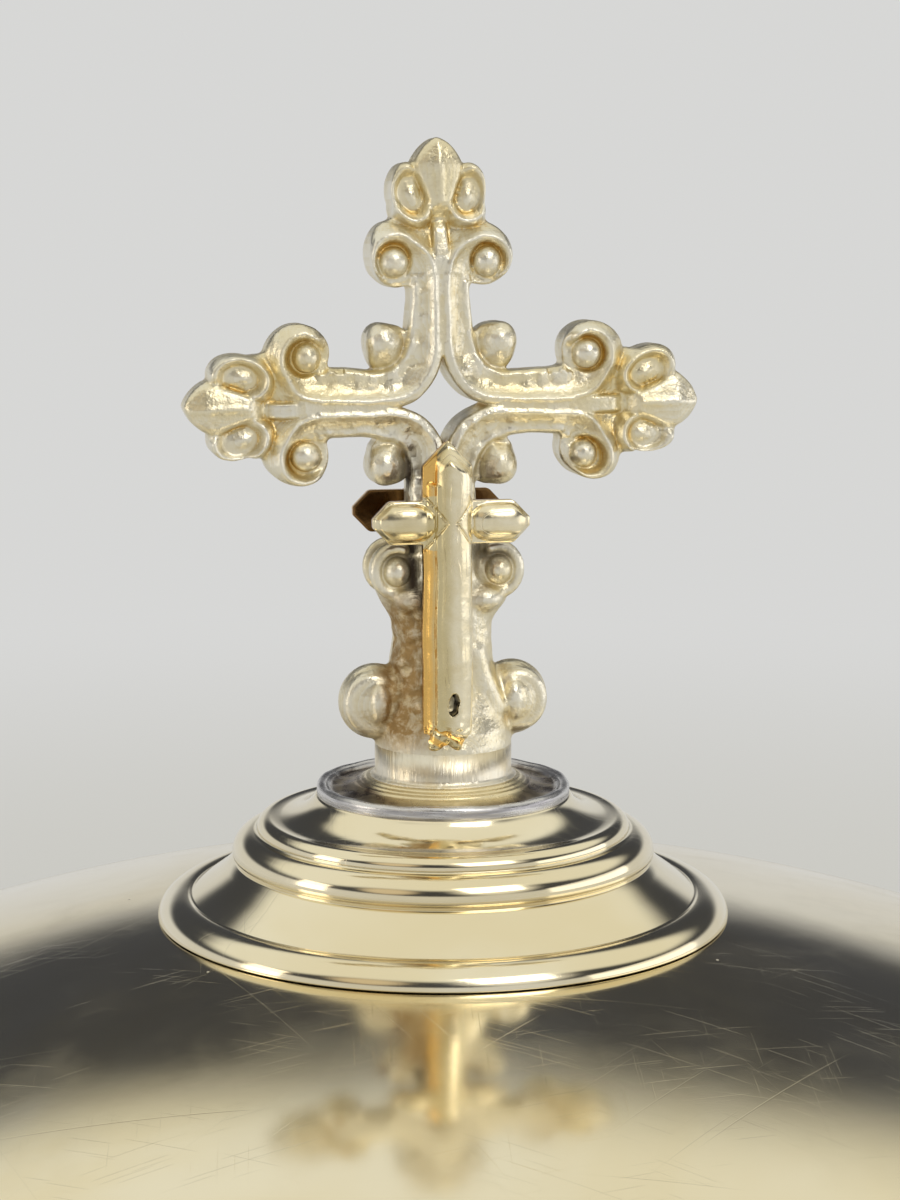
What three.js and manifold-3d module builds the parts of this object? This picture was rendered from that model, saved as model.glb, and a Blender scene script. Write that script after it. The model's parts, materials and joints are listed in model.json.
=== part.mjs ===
// Ciborium: a lidded church vessel in gilt metal, as the separate pieces that a silversmith assembles.
// Millimetres, +Z up. The origin is the centre of the foot's underside, and the finial cross faces -Y.
// Two groups move apart: the vessel (foot, stem, knop and cup) and the lid, which lifts straight off.
import * as THREE from 'three';
import { mergeVertices } from 'three/addons/utils/BufferGeometryUtils.js';
import Module from 'manifold-3d';

const wasm = await Module();
wasm.setup();

// ---- fits -------------------------------------------------------------------------------------
const SEAM = 0.05;            // soldered seam between two round pieces
const ROD_CLEAR = 0.15;       // radial play between a threaded rod and what it passes through
const LID_CLEAR = 0.5;        // radial play of the lid's bezel in the cup's mouth

// ---- facets round an axis ---------------------------------------------------------------------
const FACETS_LARGE = 40;
const FACETS_SMALL = 20;
const FACETS_CURVE = 4;       // steps in each curved edge of a flat outline

// ---- foot -------------------------------------------------------------------------------------
const FOOT_R = 62;            // outside of the band that stands on the table
const FOOT_BAND_H = 4;
const FOOT_BAND_W = 7;
const FOOT_H = 30;            // height of the foot up to the stem
const FOOT_NECK_R = 11;
const FOOT_WALL = 1.4;
const FOOT_CHAMFER = 0.6;     // under the band's edge
const FOOT_ROUND = 1;         // over the band's edge
const FOOT_SKIRT_IN = 1.5;    // the spun foot's skirt stands in from the band
const FOOT_STEP_H = 3;        // height of that skirt above the band
const FOOT_SHOULDER = 0.78;   // the shoulder's inner radius, as a part of FOOT_R
const FOOT_SHOULDER_H = 5;
const FOOT_LEDGE = 2;         // flat between the skirt and the shoulder
const FOOT_NECK_H = 2;        // upright part below the stem

// ---- stem, knop and the rod that ties them ----------------------------------------------------
const ROD_R = 4;
const ROD_CHAMFER = 0.2;      // as a part of the radius
const COLLAR_R = 13;
const COLLAR_H = 4;
const STEM_END_R = 8;
const STEM_WAIST_R = 6.6;
const STEM_H = 14;
const STEM_LEDGE = 0.5;       // collars and knop stand out this far from the stem's ends
const KNOP_R = 17;
const KNOP_HALF_H = 13;
const KNOP_WALL = 1.2;
const KNOP_BAND_R = 18.4;
const KNOP_BAND_H = 3;

// ---- cup --------------------------------------------------------------------------------------
const CUP_BOSS_R = 12;
const CUP_BOSS_H = 4;
const CUP_BOSS_BEVEL = 2;     // under its edge
const CUP_BOSS_CHAMFER = 0.8; // over its edge
const CUP_R = 64;             // outside of the mouth
const CUP_H = 62;
const CUP_WALL = 1.4;
const CUP_BELLY_H = 40;       // height of the rounded bottom, below the near-straight side
const CUP_FLARE = 1;          // how much wider the mouth is than the belly
const LIP_W = 2;              // bead round the outside of the mouth
const LIP_H = 3.6;

// ---- lid --------------------------------------------------------------------------------------
const BEZEL_WALL = 1.2;
const BEZEL_DEPTH = 6;        // how far the bezel drops into the cup
const BEZEL_LEAD = 1;         // height of the lead-in at its foot, half as wide
const RIM_H = 3.2;
const RIM_OVERHANG = 2;       // lid's rim beyond the cup's lip
const DOME_INSET = 1;         // dome's edge inside the rim's outline
const DOME_EDGE_H = 1;
const DOME_SPHERE_R = 170;
const LID_WALL = 1.2;

// ---- boss under the finial, heights above its own base ----------------------------------------
const BOSS_R = 24.3;
const BOSS_H = 10;
const BOSS_WALL = 1.4;
const BOSS_BASE = { r: BOSS_R - 2.4, z: 0.1, w: 2.4, h: 1.85 };      // quarter bead round the base
const BOSS_COVE = { r: 19.4, z: 3.2 };                       // foot of the hollow above it
const BOSS_MIDDLE = { r: 16.1, z: 5.4, w: 1.9, h: 1.75 };    // middle bead
const BOSS_BAND = { r: 14.8, z: 7.5, w: 0.95, h: 0.95 };     // thin band on the middle bead
const BOSS_NECK = { r: 14.6, z: 11, w: 3.85, h: 2.75 };      // hollow up to the disc
const BOSS_INSIDE = [[9.4, BOSS_H - BOSS_WALL], [13.0, 6.2], [18.4, 1.9], [21.4, 0.9]];

// ---- finial -----------------------------------------------------------------------------------
const STUD_R = 2.5;
const DISC_R = 10.75;
const DISC_RIM_H = 1.24;
const DISC_CENTRE_H = 1.8;
const DISC_ROUND = 0.45;
const DISC_CHAMFER = 0.3;
const DISC_HOLLOW = [[9.25, 0.84], [8.15, 0.94]];
const FERRULE_R = 5.83;
const FERRULE_H = 2.4;
const FERRULE_ROUND = 0.4;
const FERRULE_CHAMFER = 0.15;
const FERRULE_LEDGE = 0.9;    // flat of the disc outside the ferrule
const POST_H = 29.1;          // ferrule's top to the middle of the crossing
const ARM_REACH = 21.7;       // middle of the crossing to the tip of an arm
const ARM_HALF_T = 2.5;       // half thickness of the arms
const POST_HALF_T = 3.7;      // half thickness of the post
const SCROLL_C = 5.85;        // centre of each scroll's arc, out along both arms
const SCROLL_R = 3.1;
const HOLE_HALF = 3.1;        // half diagonal of the pierced diamond
const SPIGOT_DEPTH = 4;       // stud's length inside the post
const SPIGOT_SPARE = 0.5;     // socket deeper than the stud
const NECK_END = 9;           // where an arm's straight neck ends
// Edge of an arm beyond its neck: each row bends a curve towards its first pair and ends on its second,
// measured across the arm and out along it.
const LEAF_EDGE = [
  [3.0, 11, 3.4, 14.6],
  [5.0, 15.8, 4.5, 17.6],
  [4.2, 19.2, 2.7, 19.5],
  [1.5, 20.7, 0, ARM_REACH],
];
// Edge of the post the same way, heights measured up from its foot.
const POST_FOOT_HALF = 5.4;
const POST_EDGE = [
  [4.6, 5.6, 4.2, 9.6],
  [4.2, 11.6, 4.9, 13.6],
  [4.0, 17.6, 2.75, 19.6],
];
const VOLUTE_SIDE = 4.1;      // volutes on the arms: across from the arm's middle line
const VOLUTE_OUT = 12.2;      // and out along it
const VOLUTE_R = 2.35;
const VOLUTE_T = 0.8;         // as a part of the arms' thickness
const EYE_R = 1.3;
const EYE_OUT = 11.5;
const POST_VOLUTE_R = 2.3;
const POST_VOLUTE_H = 15;     // above the post's foot
const BUD_MIDDLE = 4.75;      // buds in the corners of the crossing
const BUD_HALF = 1.75;
const BUD_ROUND = 0.8;
const BUD_BULGE = 0.2;
const BUD_BALL_R = 1.4;
const BUD_BALL_MIDDLE = 4.9;
const BUD_T = 0.9;            // as a part of the arms' thickness
const NUB = { x: 6, z: 3.9, w: 2.75, t: 2.6, h: 3.2 };       // large bud each side of the post's foot

// ---- small crosses applied to the front and the back of the post -------------------------------
const APPLIED_HALF_W = 2.1;
const APPLIED_BAR = -9.5;     // heights from the middle of the crossing
const APPLIED_TOP = -2.75;
const APPLIED_GABLE = 2;
const APPLIED_BAR_HALF = 6.8;
const APPLIED_BAR_HALF_H = 1.7;
const APPLIED_PLATE_T = 1;
const APPLIED_BODY_T = 1.1;
const APPLIED_POINT = 1.3;    // length of the points at the bar's ends
const APPLIED_BODY_R = 1.65;  // half width of the raised body on the upright
const APPLIED_BAR_BODY_R = 1.25;
const APPLIED_BAR_BODY_T = 1;
const APPLIED_SLOT_W = 0.7;
const APPLIED_SLOT_H = 1.7;
const APPLIED_SLOT_X = 0.2;
const APPLIED_SLOT_UP = 3.4;  // its middle above the foot

// ---- hardware ---------------------------------------------------------------------------------
const WASHER_T = 2;
const FOOT_WASHER_R = 10;
const FOOT_NUT_FLATS = 13;
const FOOT_NUT_H = 5;
const LID_WASHER_R = 8;
const LID_NUT_FLATS = 9;
const LID_NUT_H = 4;
const THREAD_END = 2;         // rod showing past a nut

// ---- levels, all worked out from the sizes above ----------------------------------------------
const lowerCollarZ = FOOT_H;
const lowerStemZ = lowerCollarZ + COLLAR_H;
const knopZ = lowerStemZ + STEM_H;
const knopBandZ = knopZ + KNOP_HALF_H;
const knopUpperZ = knopBandZ + KNOP_BAND_H;
const upperStemZ = knopUpperZ + KNOP_HALF_H;
const upperCollarZ = upperStemZ + STEM_H;
const cupBossZ = upperCollarZ + COLLAR_H;
const cupZ = cupBossZ + CUP_BOSS_H;
const mouthZ = cupZ + CUP_H;
const domeEdgeZ = mouthZ + RIM_H;
const cupInnerR = CUP_R - CUP_WALL;
const bezelR = cupInnerR - LID_CLEAR;
const lipR = CUP_R + LIP_W;
const rimR = lipR + RIM_OVERHANG;
const domeR = rimR - DOME_INSET;
const domeCentreZ = domeEdgeZ + DOME_EDGE_H - Math.sqrt(DOME_SPHERE_R ** 2 - domeR ** 2);
const domeZ = (r) => domeCentreZ + Math.sqrt(DOME_SPHERE_R ** 2 - r ** 2);
const domeInnerZ = (r) => domeCentreZ + Math.sqrt((DOME_SPHERE_R - LID_WALL) ** 2 - r ** 2);
const bossZ = domeZ(BOSS_R);
const lidSeatR = LID_WASHER_R + 1;
const lidSeatZ = domeInnerZ(lidSeatR);
const discZ = bossZ + BOSS_H;
const ferruleZ = discZ + DISC_CENTRE_H;
const postZ = ferruleZ + FERRULE_H;
const crossingZ = postZ + POST_H;
const appliedFoot = SEAM - POST_H;
const rodHoleR = ROD_R + ROD_CLEAR;
const studHoleR = STUD_R + ROD_CLEAR;
const ledgeR = STEM_END_R + STEM_LEDGE;

// ---- shape helpers ----------------------------------------------------------------------------

// A solid of revolution about +Z. The profile is [radius, height] pairs, anticlockwise.
function turned(profile, facets) {
  const points = profile.map(([r, z]) => new THREE.Vector2(r, z));
  return new THREE.LatheGeometry(points, facets).rotateX(Math.PI / 2);
}

// The same, for a profile that stays clear of the axis and closes on its first point.
function ring(profile, facets) {
  return turned([...profile, profile[0]], facets);
}

// Points on an ellipse's arc about (r, z), both ends included; angles in degrees from +r.
function arc(r, z, radiusR, radiusZ, from, to, steps) {
  return Array.from({ length: steps + 1 }, (_, i) => {
    const angle = THREE.MathUtils.degToRad(from + ((to - from) * i) / steps);
    return [r + radiusR * Math.cos(angle), z + radiusZ * Math.sin(angle)];
  });
}

// Points [at, value(at)] on a curve, evenly spaced, both ends included.
function along(value, from, to, steps) {
  return Array.from({ length: steps + 1 }, (_, i) => {
    const at = from + ((to - from) * i) / steps;
    return [at, value(at)];
  });
}

// Points on the arc of a moulding given as its centre, half width and half height.
function moulding({ r, z, w, h }, from, to, steps) {
  return arc(r, z, w, h, from, to, steps);
}

// A closed outline, alike on both sides of its middle line: straight steps are [x, z], curved ones
// [bend x, bend z, x, z].
function symmetric(first, steps) {
  const shape = new THREE.Shape();
  const go = (step) => (step.length === 2 ? shape.lineTo(...step) : shape.quadraticCurveTo(...step));
  shape.moveTo(...first);
  steps.forEach(go);
  const ends = [first, ...steps.map((step) => step.slice(-2))];
  const [lastX, lastZ] = ends[steps.length];
  if (lastX > 0) {
    shape.lineTo(-lastX, lastZ);
  }
  for (let i = steps.length - 1; i >= 0; i -= 1) {
    const [x, z] = ends[i];
    go(steps[i].length === 2 ? [-x, z] : [-steps[i][0], steps[i][1], -x, z]);
  }
  return shape;
}

function washer(innerR, outerR, z, height) {
  return ring([[innerR, z], [outerR, z], [outerR, z + height], [innerR, z + height]], FACETS_SMALL);
}

// A round bar with a chamfer at both ends.
function rod(radius, z0, z1) {
  const cut = ROD_CHAMFER * radius;
  const lower = [[0, z0], [radius - cut, z0], [radius, z0 + cut]];
  const upper = [[radius, z1 - cut], [radius - cut, z1], [0, z1]];
  return turned([...lower, ...upper], FACETS_SMALL);
}

// An upright plate: a flat outline in X and Z, from y = back to y = front.
function plate(shape, front, back) {
  const options = { depth: back - front, bevelEnabled: false, curveSegments: FACETS_CURVE };
  return new THREE.ExtrudeGeometry(shape, options).rotateX(Math.PI / 2).translate(0, back, 0);
}

function solid(geometry) {
  const bare = new THREE.BufferGeometry();
  bare.setAttribute('position', geometry.attributes.position);
  bare.setIndex(geometry.index);
  const merged = mergeVertices(bare, 1e-4);
  const mesh = new wasm.Mesh({
    numProp: 3,
    vertProperties: new Float32Array(merged.attributes.position.array),
    triVerts: new Uint32Array(merged.index.array),
  });
  return new wasm.Manifold(mesh);
}

function geometryOf(body) {
  const mesh = body.getMesh();
  const geometry = new THREE.BufferGeometry();
  geometry.setAttribute('position', new THREE.BufferAttribute(new Float32Array(mesh.vertProperties), 3));
  geometry.setIndex(new THREE.BufferAttribute(new Uint32Array(mesh.triVerts), 1));
  geometry.computeVertexNormals();
  return geometry;
}

const union = (geometries) => geometries.map(solid).reduce((whole, next) => whole.add(next));

// ---- foot -------------------------------------------------------------------------------------

function footBand() {
  const inner = FOOT_R - FOOT_BAND_W;
  const under = [[inner, 0], [FOOT_R - FOOT_CHAMFER, 0], [FOOT_R, FOOT_CHAMFER]];
  const over = arc(FOOT_R - FOOT_ROUND, FOOT_BAND_H - FOOT_ROUND, FOOT_ROUND, FOOT_ROUND, 0, 90, 2);
  return ring([...under, ...over, [inner, FOOT_BAND_H]], FACETS_LARGE);
}

// Outer line of the spun foot: a low step, a swelling shoulder and a hollow sweep up to the neck.
function footLine(inset) {
  const skirtR = FOOT_R - FOOT_SKIRT_IN - inset;
  const shoulderZ = FOOT_BAND_H + FOOT_STEP_H - inset;
  const shoulderR = FOOT_SHOULDER * FOOT_R;
  const shoulderW = skirtR - FOOT_LEDGE - shoulderR;
  const shoulder = arc(shoulderR, shoulderZ, shoulderW, FOOT_SHOULDER_H, 0, 90, 3);
  const neckZ = FOOT_H - FOOT_NECK_H - inset;
  const sweepW = shoulderR - FOOT_NECK_R + inset;
  const sweep = arc(shoulderR, neckZ, sweepW, neckZ - shoulderZ - FOOT_SHOULDER_H, 270, 180, 5);
  return [[skirtR, FOOT_BAND_H], [skirtR, shoulderZ - 1], ...shoulder, ...sweep.slice(1)];
}

function footDome() {
  const top = [[FOOT_NECK_R, FOOT_H], [rodHoleR, FOOT_H]];
  const under = [[rodHoleR, FOOT_H - FOOT_WALL], [FOOT_NECK_R - FOOT_WALL, FOOT_H - FOOT_WALL]];
  return ring([...footLine(0), ...top, ...under, ...footLine(FOOT_WALL).reverse()], FACETS_LARGE);
}

function hexNut(flats, holeR, z, height) {
  const body = new THREE.CylinderGeometry(flats / Math.sqrt(3), flats / Math.sqrt(3), height, 6);
  body.rotateX(Math.PI / 2).translate(0, 0, z + height / 2);
  return geometryOf(solid(body).subtract(solid(rod(holeR, z - height, z + 2 * height))));
}

const footWasherZ = FOOT_H - FOOT_WALL - WASHER_T;
const footNutZ = footWasherZ - FOOT_NUT_H;

// ---- stem and knop ----------------------------------------------------------------------------

// A turned collar: two beads with a groove between, wider end first.
function collar(z, wideEndDown) {
  const beadR = COLLAR_H / 4;
  const wide = arc(COLLAR_R - beadR, beadR, beadR, beadR, -90, 90, 3);
  const narrow = arc(ledgeR, 3 * beadR, beadR, beadR, -90, 90, 3);
  const outline = [[rodHoleR, 0], ...wide, ...narrow, [rodHoleR, COLLAR_H]];
  const placed = wideEndDown ? outline : outline.map(([r, h]) => [r, COLLAR_H - h]).reverse();
  return ring(placed.map(([r, h]) => [r, z + h]), FACETS_SMALL);
}

function stem(z) {
  const waist = (h) => STEM_WAIST_R + (STEM_END_R - STEM_WAIST_R) * (1 - Math.sin((Math.PI * h) / STEM_H));
  const side = along(waist, 0, STEM_H, 6).map(([h, r]) => [r, z + h]);
  return ring([[rodHoleR, z], ...side, [rodHoleR, z + STEM_H]], FACETS_SMALL);
}

// Half of the hollow knop: a bowl with a flat end that the rod passes through.
function knopHalf(z, upper) {
  const swellR = KNOP_R - ledgeR;
  const outer = arc(ledgeR, KNOP_HALF_H, swellR, KNOP_HALF_H, -90, 0, 5);
  const inner = arc(ledgeR, KNOP_HALF_H, swellR - KNOP_WALL, KNOP_HALF_H - KNOP_WALL, 0, -90, 4);
  const outline = [[rodHoleR, 0], ...outer, ...inner, [rodHoleR, KNOP_WALL]];
  const placed = upper ? outline.map(([r, h]) => [r, KNOP_HALF_H - h]).reverse() : outline;
  return ring(placed.map(([r, h]) => [r, z + h]), FACETS_SMALL);
}

function knopBand() {
  const innerR = KNOP_R - 2 * KNOP_WALL;
  const edge = KNOP_BAND_R - KNOP_BAND_H / 2;
  const bead = arc(edge, knopBandZ + KNOP_BAND_H / 2, KNOP_BAND_H / 2, KNOP_BAND_H / 2, -90, 90, 4);
  return ring([[innerR, knopBandZ], ...bead, [innerR, knopUpperZ]], FACETS_SMALL);
}

// ---- cup --------------------------------------------------------------------------------------

function cupBoss() {
  const bevelR = CUP_BOSS_R - CUP_BOSS_BEVEL;
  const topR = CUP_BOSS_R - CUP_BOSS_CHAMFER;
  const under = [[rodHoleR, cupBossZ], [bevelR, cupBossZ], [CUP_BOSS_R, cupBossZ + CUP_BOSS_BEVEL]];
  const over = [[CUP_BOSS_R, cupZ - CUP_BOSS_CHAMFER], [topR, cupZ], [rodHoleR, cupZ]];
  return ring([...under, ...over], FACETS_SMALL);
}

function cupBowl() {
  const bellyR = CUP_R - CUP_FLARE - CUP_BOSS_R;
  const bellyZ = cupZ + CUP_BELLY_H;
  const outer = arc(CUP_BOSS_R, bellyZ, bellyR, CUP_BELLY_H, -90, 0, 8);
  const inner = arc(CUP_BOSS_R, bellyZ, bellyR - CUP_WALL, CUP_BELLY_H - CUP_WALL, 0, -90, 7);
  const mouth = [[CUP_R, mouthZ - LIP_H], [CUP_R, mouthZ], [cupInnerR, mouthZ], [cupInnerR, mouthZ - LIP_H]];
  return turned([[0, cupZ], ...outer, ...mouth, ...inner, [0, cupZ + CUP_WALL]], FACETS_LARGE);
}

function cupLip() {
  const innerR = CUP_R + SEAM;
  const bead = arc(CUP_R, mouthZ - LIP_H / 2, LIP_W, LIP_H / 2, -90, 90, 4);
  return ring([[innerR, mouthZ - LIP_H], ...bead.slice(1, -1), [innerR, mouthZ]], FACETS_LARGE);
}

// ---- lid --------------------------------------------------------------------------------------

function lidBezel() {
  const innerR = bezelR - BEZEL_WALL;
  const foot = mouthZ - BEZEL_DEPTH;
  const lead = [[innerR, foot], [bezelR - BEZEL_LEAD / 2, foot], [bezelR, foot + BEZEL_LEAD]];
  return ring([...lead, [bezelR, domeEdgeZ], [innerR, domeEdgeZ]], FACETS_LARGE);
}

function lidRim() {
  const innerR = bezelR + SEAM;
  const bead = arc(rimR - RIM_H / 2, mouthZ + RIM_H / 2, RIM_H / 2, RIM_H / 2, -90, 90, 4);
  return ring([[innerR, mouthZ], ...bead, [innerR, domeEdgeZ]], FACETS_LARGE);
}

function lidDome() {
  const innerEdgeR = domeR - 1.5 * LID_WALL;
  const outer = along(domeZ, domeR, BOSS_R, 4);
  const crown = along(domeZ, BOSS_R, studHoleR, 1);
  const inner = along(domeInnerZ, lidSeatR, innerEdgeR, 4);
  const skin = [[domeR, domeEdgeZ], ...outer, ...crown.slice(1)];
  return ring([...skin, [studHoleR, lidSeatZ], ...inner, [innerEdgeR, domeEdgeZ]], FACETS_LARGE);
}

// ---- boss: three spun mouldings that step up to the finial --------------------------------------

function boss() {
  const base = moulding(BOSS_BASE, 0, 90, 3);
  const middle = moulding(BOSS_MIDDLE, -35, 85, 4);
  const band = moulding(BOSS_BAND, 0, 110, 2);
  const neck = moulding(BOSS_NECK, 250, 195, 3);
  const top = [[DISC_R - DISC_CHAMFER, BOSS_H], [studHoleR, BOSS_H], [studHoleR, BOSS_H - BOSS_WALL]];
  const outer = [...base, [BOSS_COVE.r, BOSS_COVE.z], ...middle, ...band, ...neck, ...top];
  const seatR = BOSS_R - BOSS_WALL;
  const seat = [[seatR, domeZ(seatR) - bossZ + SEAM], [BOSS_R, SEAM]];
  return ring([...outer, ...BOSS_INSIDE, ...seat].map(([r, h]) => [r, bossZ + h]), FACETS_LARGE);
}

// ---- finial -----------------------------------------------------------------------------------

function finialDisc() {
  const rim = arc(DISC_R - DISC_ROUND, DISC_RIM_H - DISC_ROUND, DISC_ROUND, DISC_ROUND, 0, 180, 3);
  const under = [[studHoleR, 0], [DISC_R - DISC_CHAMFER, 0], [DISC_R, DISC_CHAMFER]];
  const centre = [[FERRULE_R + FERRULE_LEDGE, DISC_CENTRE_H], [studHoleR, DISC_CENTRE_H]];
  const outline = [...under, ...rim, ...DISC_HOLLOW, ...centre];
  return ring(outline.map(([r, h]) => [r, discZ + h]), FACETS_SMALL);
}

function ferrule() {
  const rollR = FERRULE_R - FERRULE_ROUND;
  const roll = arc(rollR, FERRULE_H - FERRULE_ROUND, FERRULE_ROUND, FERRULE_ROUND, 0, 90, 2);
  const under = [[studHoleR, 0], [FERRULE_R - FERRULE_CHAMFER, 0], [FERRULE_R, FERRULE_CHAMFER]];
  const outline = [...under, ...roll, [studHoleR, FERRULE_H]];
  return ring(outline.map(([r, h]) => [r, ferruleZ + h]), FACETS_SMALL);
}

// The middle of the cross: a square pierced by a diamond and bitten by the four scrolls.
function crossingShape() {
  const shape = new THREE.Shape();
  const reach = SCROLL_C;
  const end = SCROLL_C - SCROLL_R;
  shape.moveTo(end, -reach);
  shape.absarc(reach, -reach, SCROLL_R, Math.PI, Math.PI / 2, true);
  shape.absarc(reach, reach, SCROLL_R, -Math.PI / 2, -Math.PI, true);
  shape.absarc(-reach, reach, SCROLL_R, 0, -Math.PI / 2, true);
  shape.absarc(-reach, -reach, SCROLL_R, Math.PI / 2, 0, true);
  const hole = new THREE.Path();
  hole.moveTo(HOLE_HALF, 0);
  hole.lineTo(0, HOLE_HALF);
  hole.lineTo(-HOLE_HALF, 0);
  hole.lineTo(0, -HOLE_HALF);
  hole.closePath();
  shape.holes.push(hole);
  return shape;
}

// One arm from the crossing outwards: a straight neck, then a leaf with two side lobes and a point.
function armShape() {
  const neck = SCROLL_C - SCROLL_R;
  return symmetric([neck, SCROLL_C - 2 * SEAM], [[neck, NECK_END], ...LEAF_EDGE]);
}

// A rounded bud that fills the corner between two arms.
function budShape() {
  const low = BUD_MIDDLE - BUD_HALF;
  const high = BUD_MIDDLE + BUD_HALF;
  const shape = new THREE.Shape();
  shape.moveTo(low, low);
  shape.lineTo(high - BUD_ROUND, low);
  shape.quadraticCurveTo(high, low, high, low + BUD_ROUND);
  shape.quadraticCurveTo(high + BUD_BULGE, high + BUD_BULGE, low + BUD_ROUND, high);
  shape.quadraticCurveTo(low, high, low, high - BUD_ROUND);
  return shape;
}

// The post below the crossing, with the waist above the two large side buds.
function postShape() {
  const edge = POST_EDGE.map(([bendX, bendZ, x, z]) => [bendX, bendZ - POST_H, x, z - POST_H]);
  return symmetric([POST_FOOT_HALF, -POST_H], [...edge, [SCROLL_C - SCROLL_R, -SCROLL_C]]);
}

function ball(radius, x, y, z) {
  return new THREE.SphereGeometry(radius, 8, 5).translate(x, y, z);
}

// A volute seen from the front: a short drum with a ball eye standing out of both faces.
function volute(x, z, radius, eyeX, eyeZ, halfT) {
  const drum = new THREE.CylinderGeometry(radius, radius, 2 * halfT, 16).translate(x, 0, z);
  return [drum, ball(EYE_R, eyeX, -halfT, eyeZ), ball(EYE_R, eyeX, halfT, eyeZ)];
}

function crossCasting() {
  const quarter = Math.PI / 2;
  const budT = BUD_T * ARM_HALF_T;
  const pieces = [plate(crossingShape(), -ARM_HALF_T, ARM_HALF_T)];
  pieces.push(plate(postShape(), -POST_HALF_T, POST_HALF_T));
  for (const turn of [-1, 0, 1]) {
    const arm = [plate(armShape(), -ARM_HALF_T, ARM_HALF_T)];
    for (const across of [-VOLUTE_SIDE, VOLUTE_SIDE]) {
      arm.push(...volute(across, VOLUTE_OUT, VOLUTE_R, across, EYE_OUT, VOLUTE_T * ARM_HALF_T));
    }
    pieces.push(...arm.map((piece) => piece.rotateY(turn * quarter)));
  }
  for (let corner = 0; corner < 4; corner += 1) {
    const bud = [plate(budShape(), -budT, budT)];
    for (const y of [-budT, budT]) {
      bud.push(ball(BUD_BALL_R, BUD_BALL_MIDDLE, y, BUD_BALL_MIDDLE));
    }
    pieces.push(...bud.map((piece) => piece.rotateY(corner * quarter)));
  }
  for (const side of [-1, 1]) {
    const x = side * VOLUTE_SIDE;
    const z = POST_VOLUTE_H - POST_H;
    pieces.push(...volute(x, z, POST_VOLUTE_R, x, z, ARM_HALF_T));
    const nub = new THREE.SphereGeometry(1, 12, 8).scale(NUB.w, NUB.t, NUB.h);
    pieces.push(nub.translate(side * NUB.x, 0, NUB.z - POST_H));
  }
  const socket = rod(studHoleR, -POST_H - SPIGOT_DEPTH, SPIGOT_DEPTH + SPIGOT_SPARE - POST_H);
  return geometryOf(union(pieces).subtract(solid(socket)));
}

// ---- applied crosses --------------------------------------------------------------------------

function appliedShape() {
  const w = APPLIED_HALF_W;
  const low = APPLIED_BAR - APPLIED_BAR_HALF_H;
  const high = APPLIED_BAR + APPLIED_BAR_HALF_H;
  const cut = APPLIED_BAR_HALF - APPLIED_POINT;
  const bar = [[w, low], [cut, low], [APPLIED_BAR_HALF, APPLIED_BAR], [cut, high], [w, high]];
  return symmetric([w, appliedFoot], [...bar, [w, APPLIED_TOP - APPLIED_GABLE], [0, APPLIED_TOP]]);
}

// An upright half-round body, standing out from the plate's face by its thickness.
function raisedBody(radius, thickness, length) {
  const cylinder = new THREE.CylinderGeometry(radius, radius, length, 12).rotateX(Math.PI / 2);
  return cylinder.scale(1, thickness / radius, 1);
}

// A flat plate against the post, a rounded body along both bars, and a slot near the foot.
function appliedCross(yaw) {
  const back = -POST_HALF_T - SEAM;
  const face = back - APPLIED_PLATE_T;
  const bodyFoot = appliedFoot + 1;
  const bodyTop = APPLIED_TOP - APPLIED_GABLE;
  const upright = raisedBody(APPLIED_BODY_R, APPLIED_BODY_T, bodyTop - bodyFoot);
  upright.translate(0, face, (bodyTop + bodyFoot) / 2);
  const barLength = 2 * (APPLIED_BAR_HALF - APPLIED_POINT);
  const bar = raisedBody(APPLIED_BAR_BODY_R, APPLIED_BAR_BODY_T, barLength).rotateY(Math.PI / 2);
  bar.translate(0, face, APPLIED_BAR);
  const behind = new THREE.BoxGeometry(40, 4, 80).translate(0, back + 2, -20);
  const slot = new THREE.BoxGeometry(APPLIED_SLOT_W, 8, APPLIED_SLOT_H);
  slot.translate(APPLIED_SLOT_X, back, appliedFoot + APPLIED_SLOT_UP);
  const body = union([plate(appliedShape(), face, back), upright, bar]);
  return geometryOf(body.subtract(solid(behind)).subtract(solid(slot))).rotateZ(yaw);
}

// ---- assembly ---------------------------------------------------------------------------------

const FINISH = {
  gilt: { color: 0xd9c48f, roughness: 0.18, metalness: 1 },
  castGilt: { color: 0xd8cdb0, roughness: 0.34, metalness: 1 },
  gold: { color: 0xe0c27a, roughness: 0.2, metalness: 1 },
  tarnish: { color: 0x6a6052, roughness: 0.5, metalness: 1 },
  brass: { color: 0xb59a5c, roughness: 0.35, metalness: 1 },
};

function piece(name, geometry, finish) {
  const mesh = new THREE.Mesh(geometry, new THREE.MeshStandardMaterial(FINISH[finish]));
  mesh.name = name;
  return mesh;
}

const vessel = new THREE.Group();
vessel.add(
  piece('foot_band', footBand(), 'gilt'),
  piece('foot_dome', footDome(), 'gilt'),
  piece('foot_washer', washer(rodHoleR, FOOT_WASHER_R - FOOT_WALL, footWasherZ, WASHER_T), 'brass'),
  piece('foot_nut', hexNut(FOOT_NUT_FLATS, rodHoleR, footNutZ, FOOT_NUT_H), 'brass'),
  piece('tie_rod', rod(ROD_R, footNutZ - THREAD_END, cupZ), 'brass'),
  piece('lower_collar', collar(lowerCollarZ, true), 'gilt'),
  piece('lower_stem', stem(lowerStemZ), 'gilt'),
  piece('knop_lower', knopHalf(knopZ, false), 'gilt'),
  piece('knop_band', knopBand(), 'gilt'),
  piece('knop_upper', knopHalf(knopUpperZ, true), 'gilt'),
  piece('upper_stem', stem(upperStemZ), 'gilt'),
  piece('upper_collar', collar(upperCollarZ, false), 'gilt'),
  piece('cup_boss', cupBoss(), 'gilt'),
  piece('cup_bowl', cupBowl(), 'gilt'),
  piece('cup_lip', cupLip(), 'gilt'),
);

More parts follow.
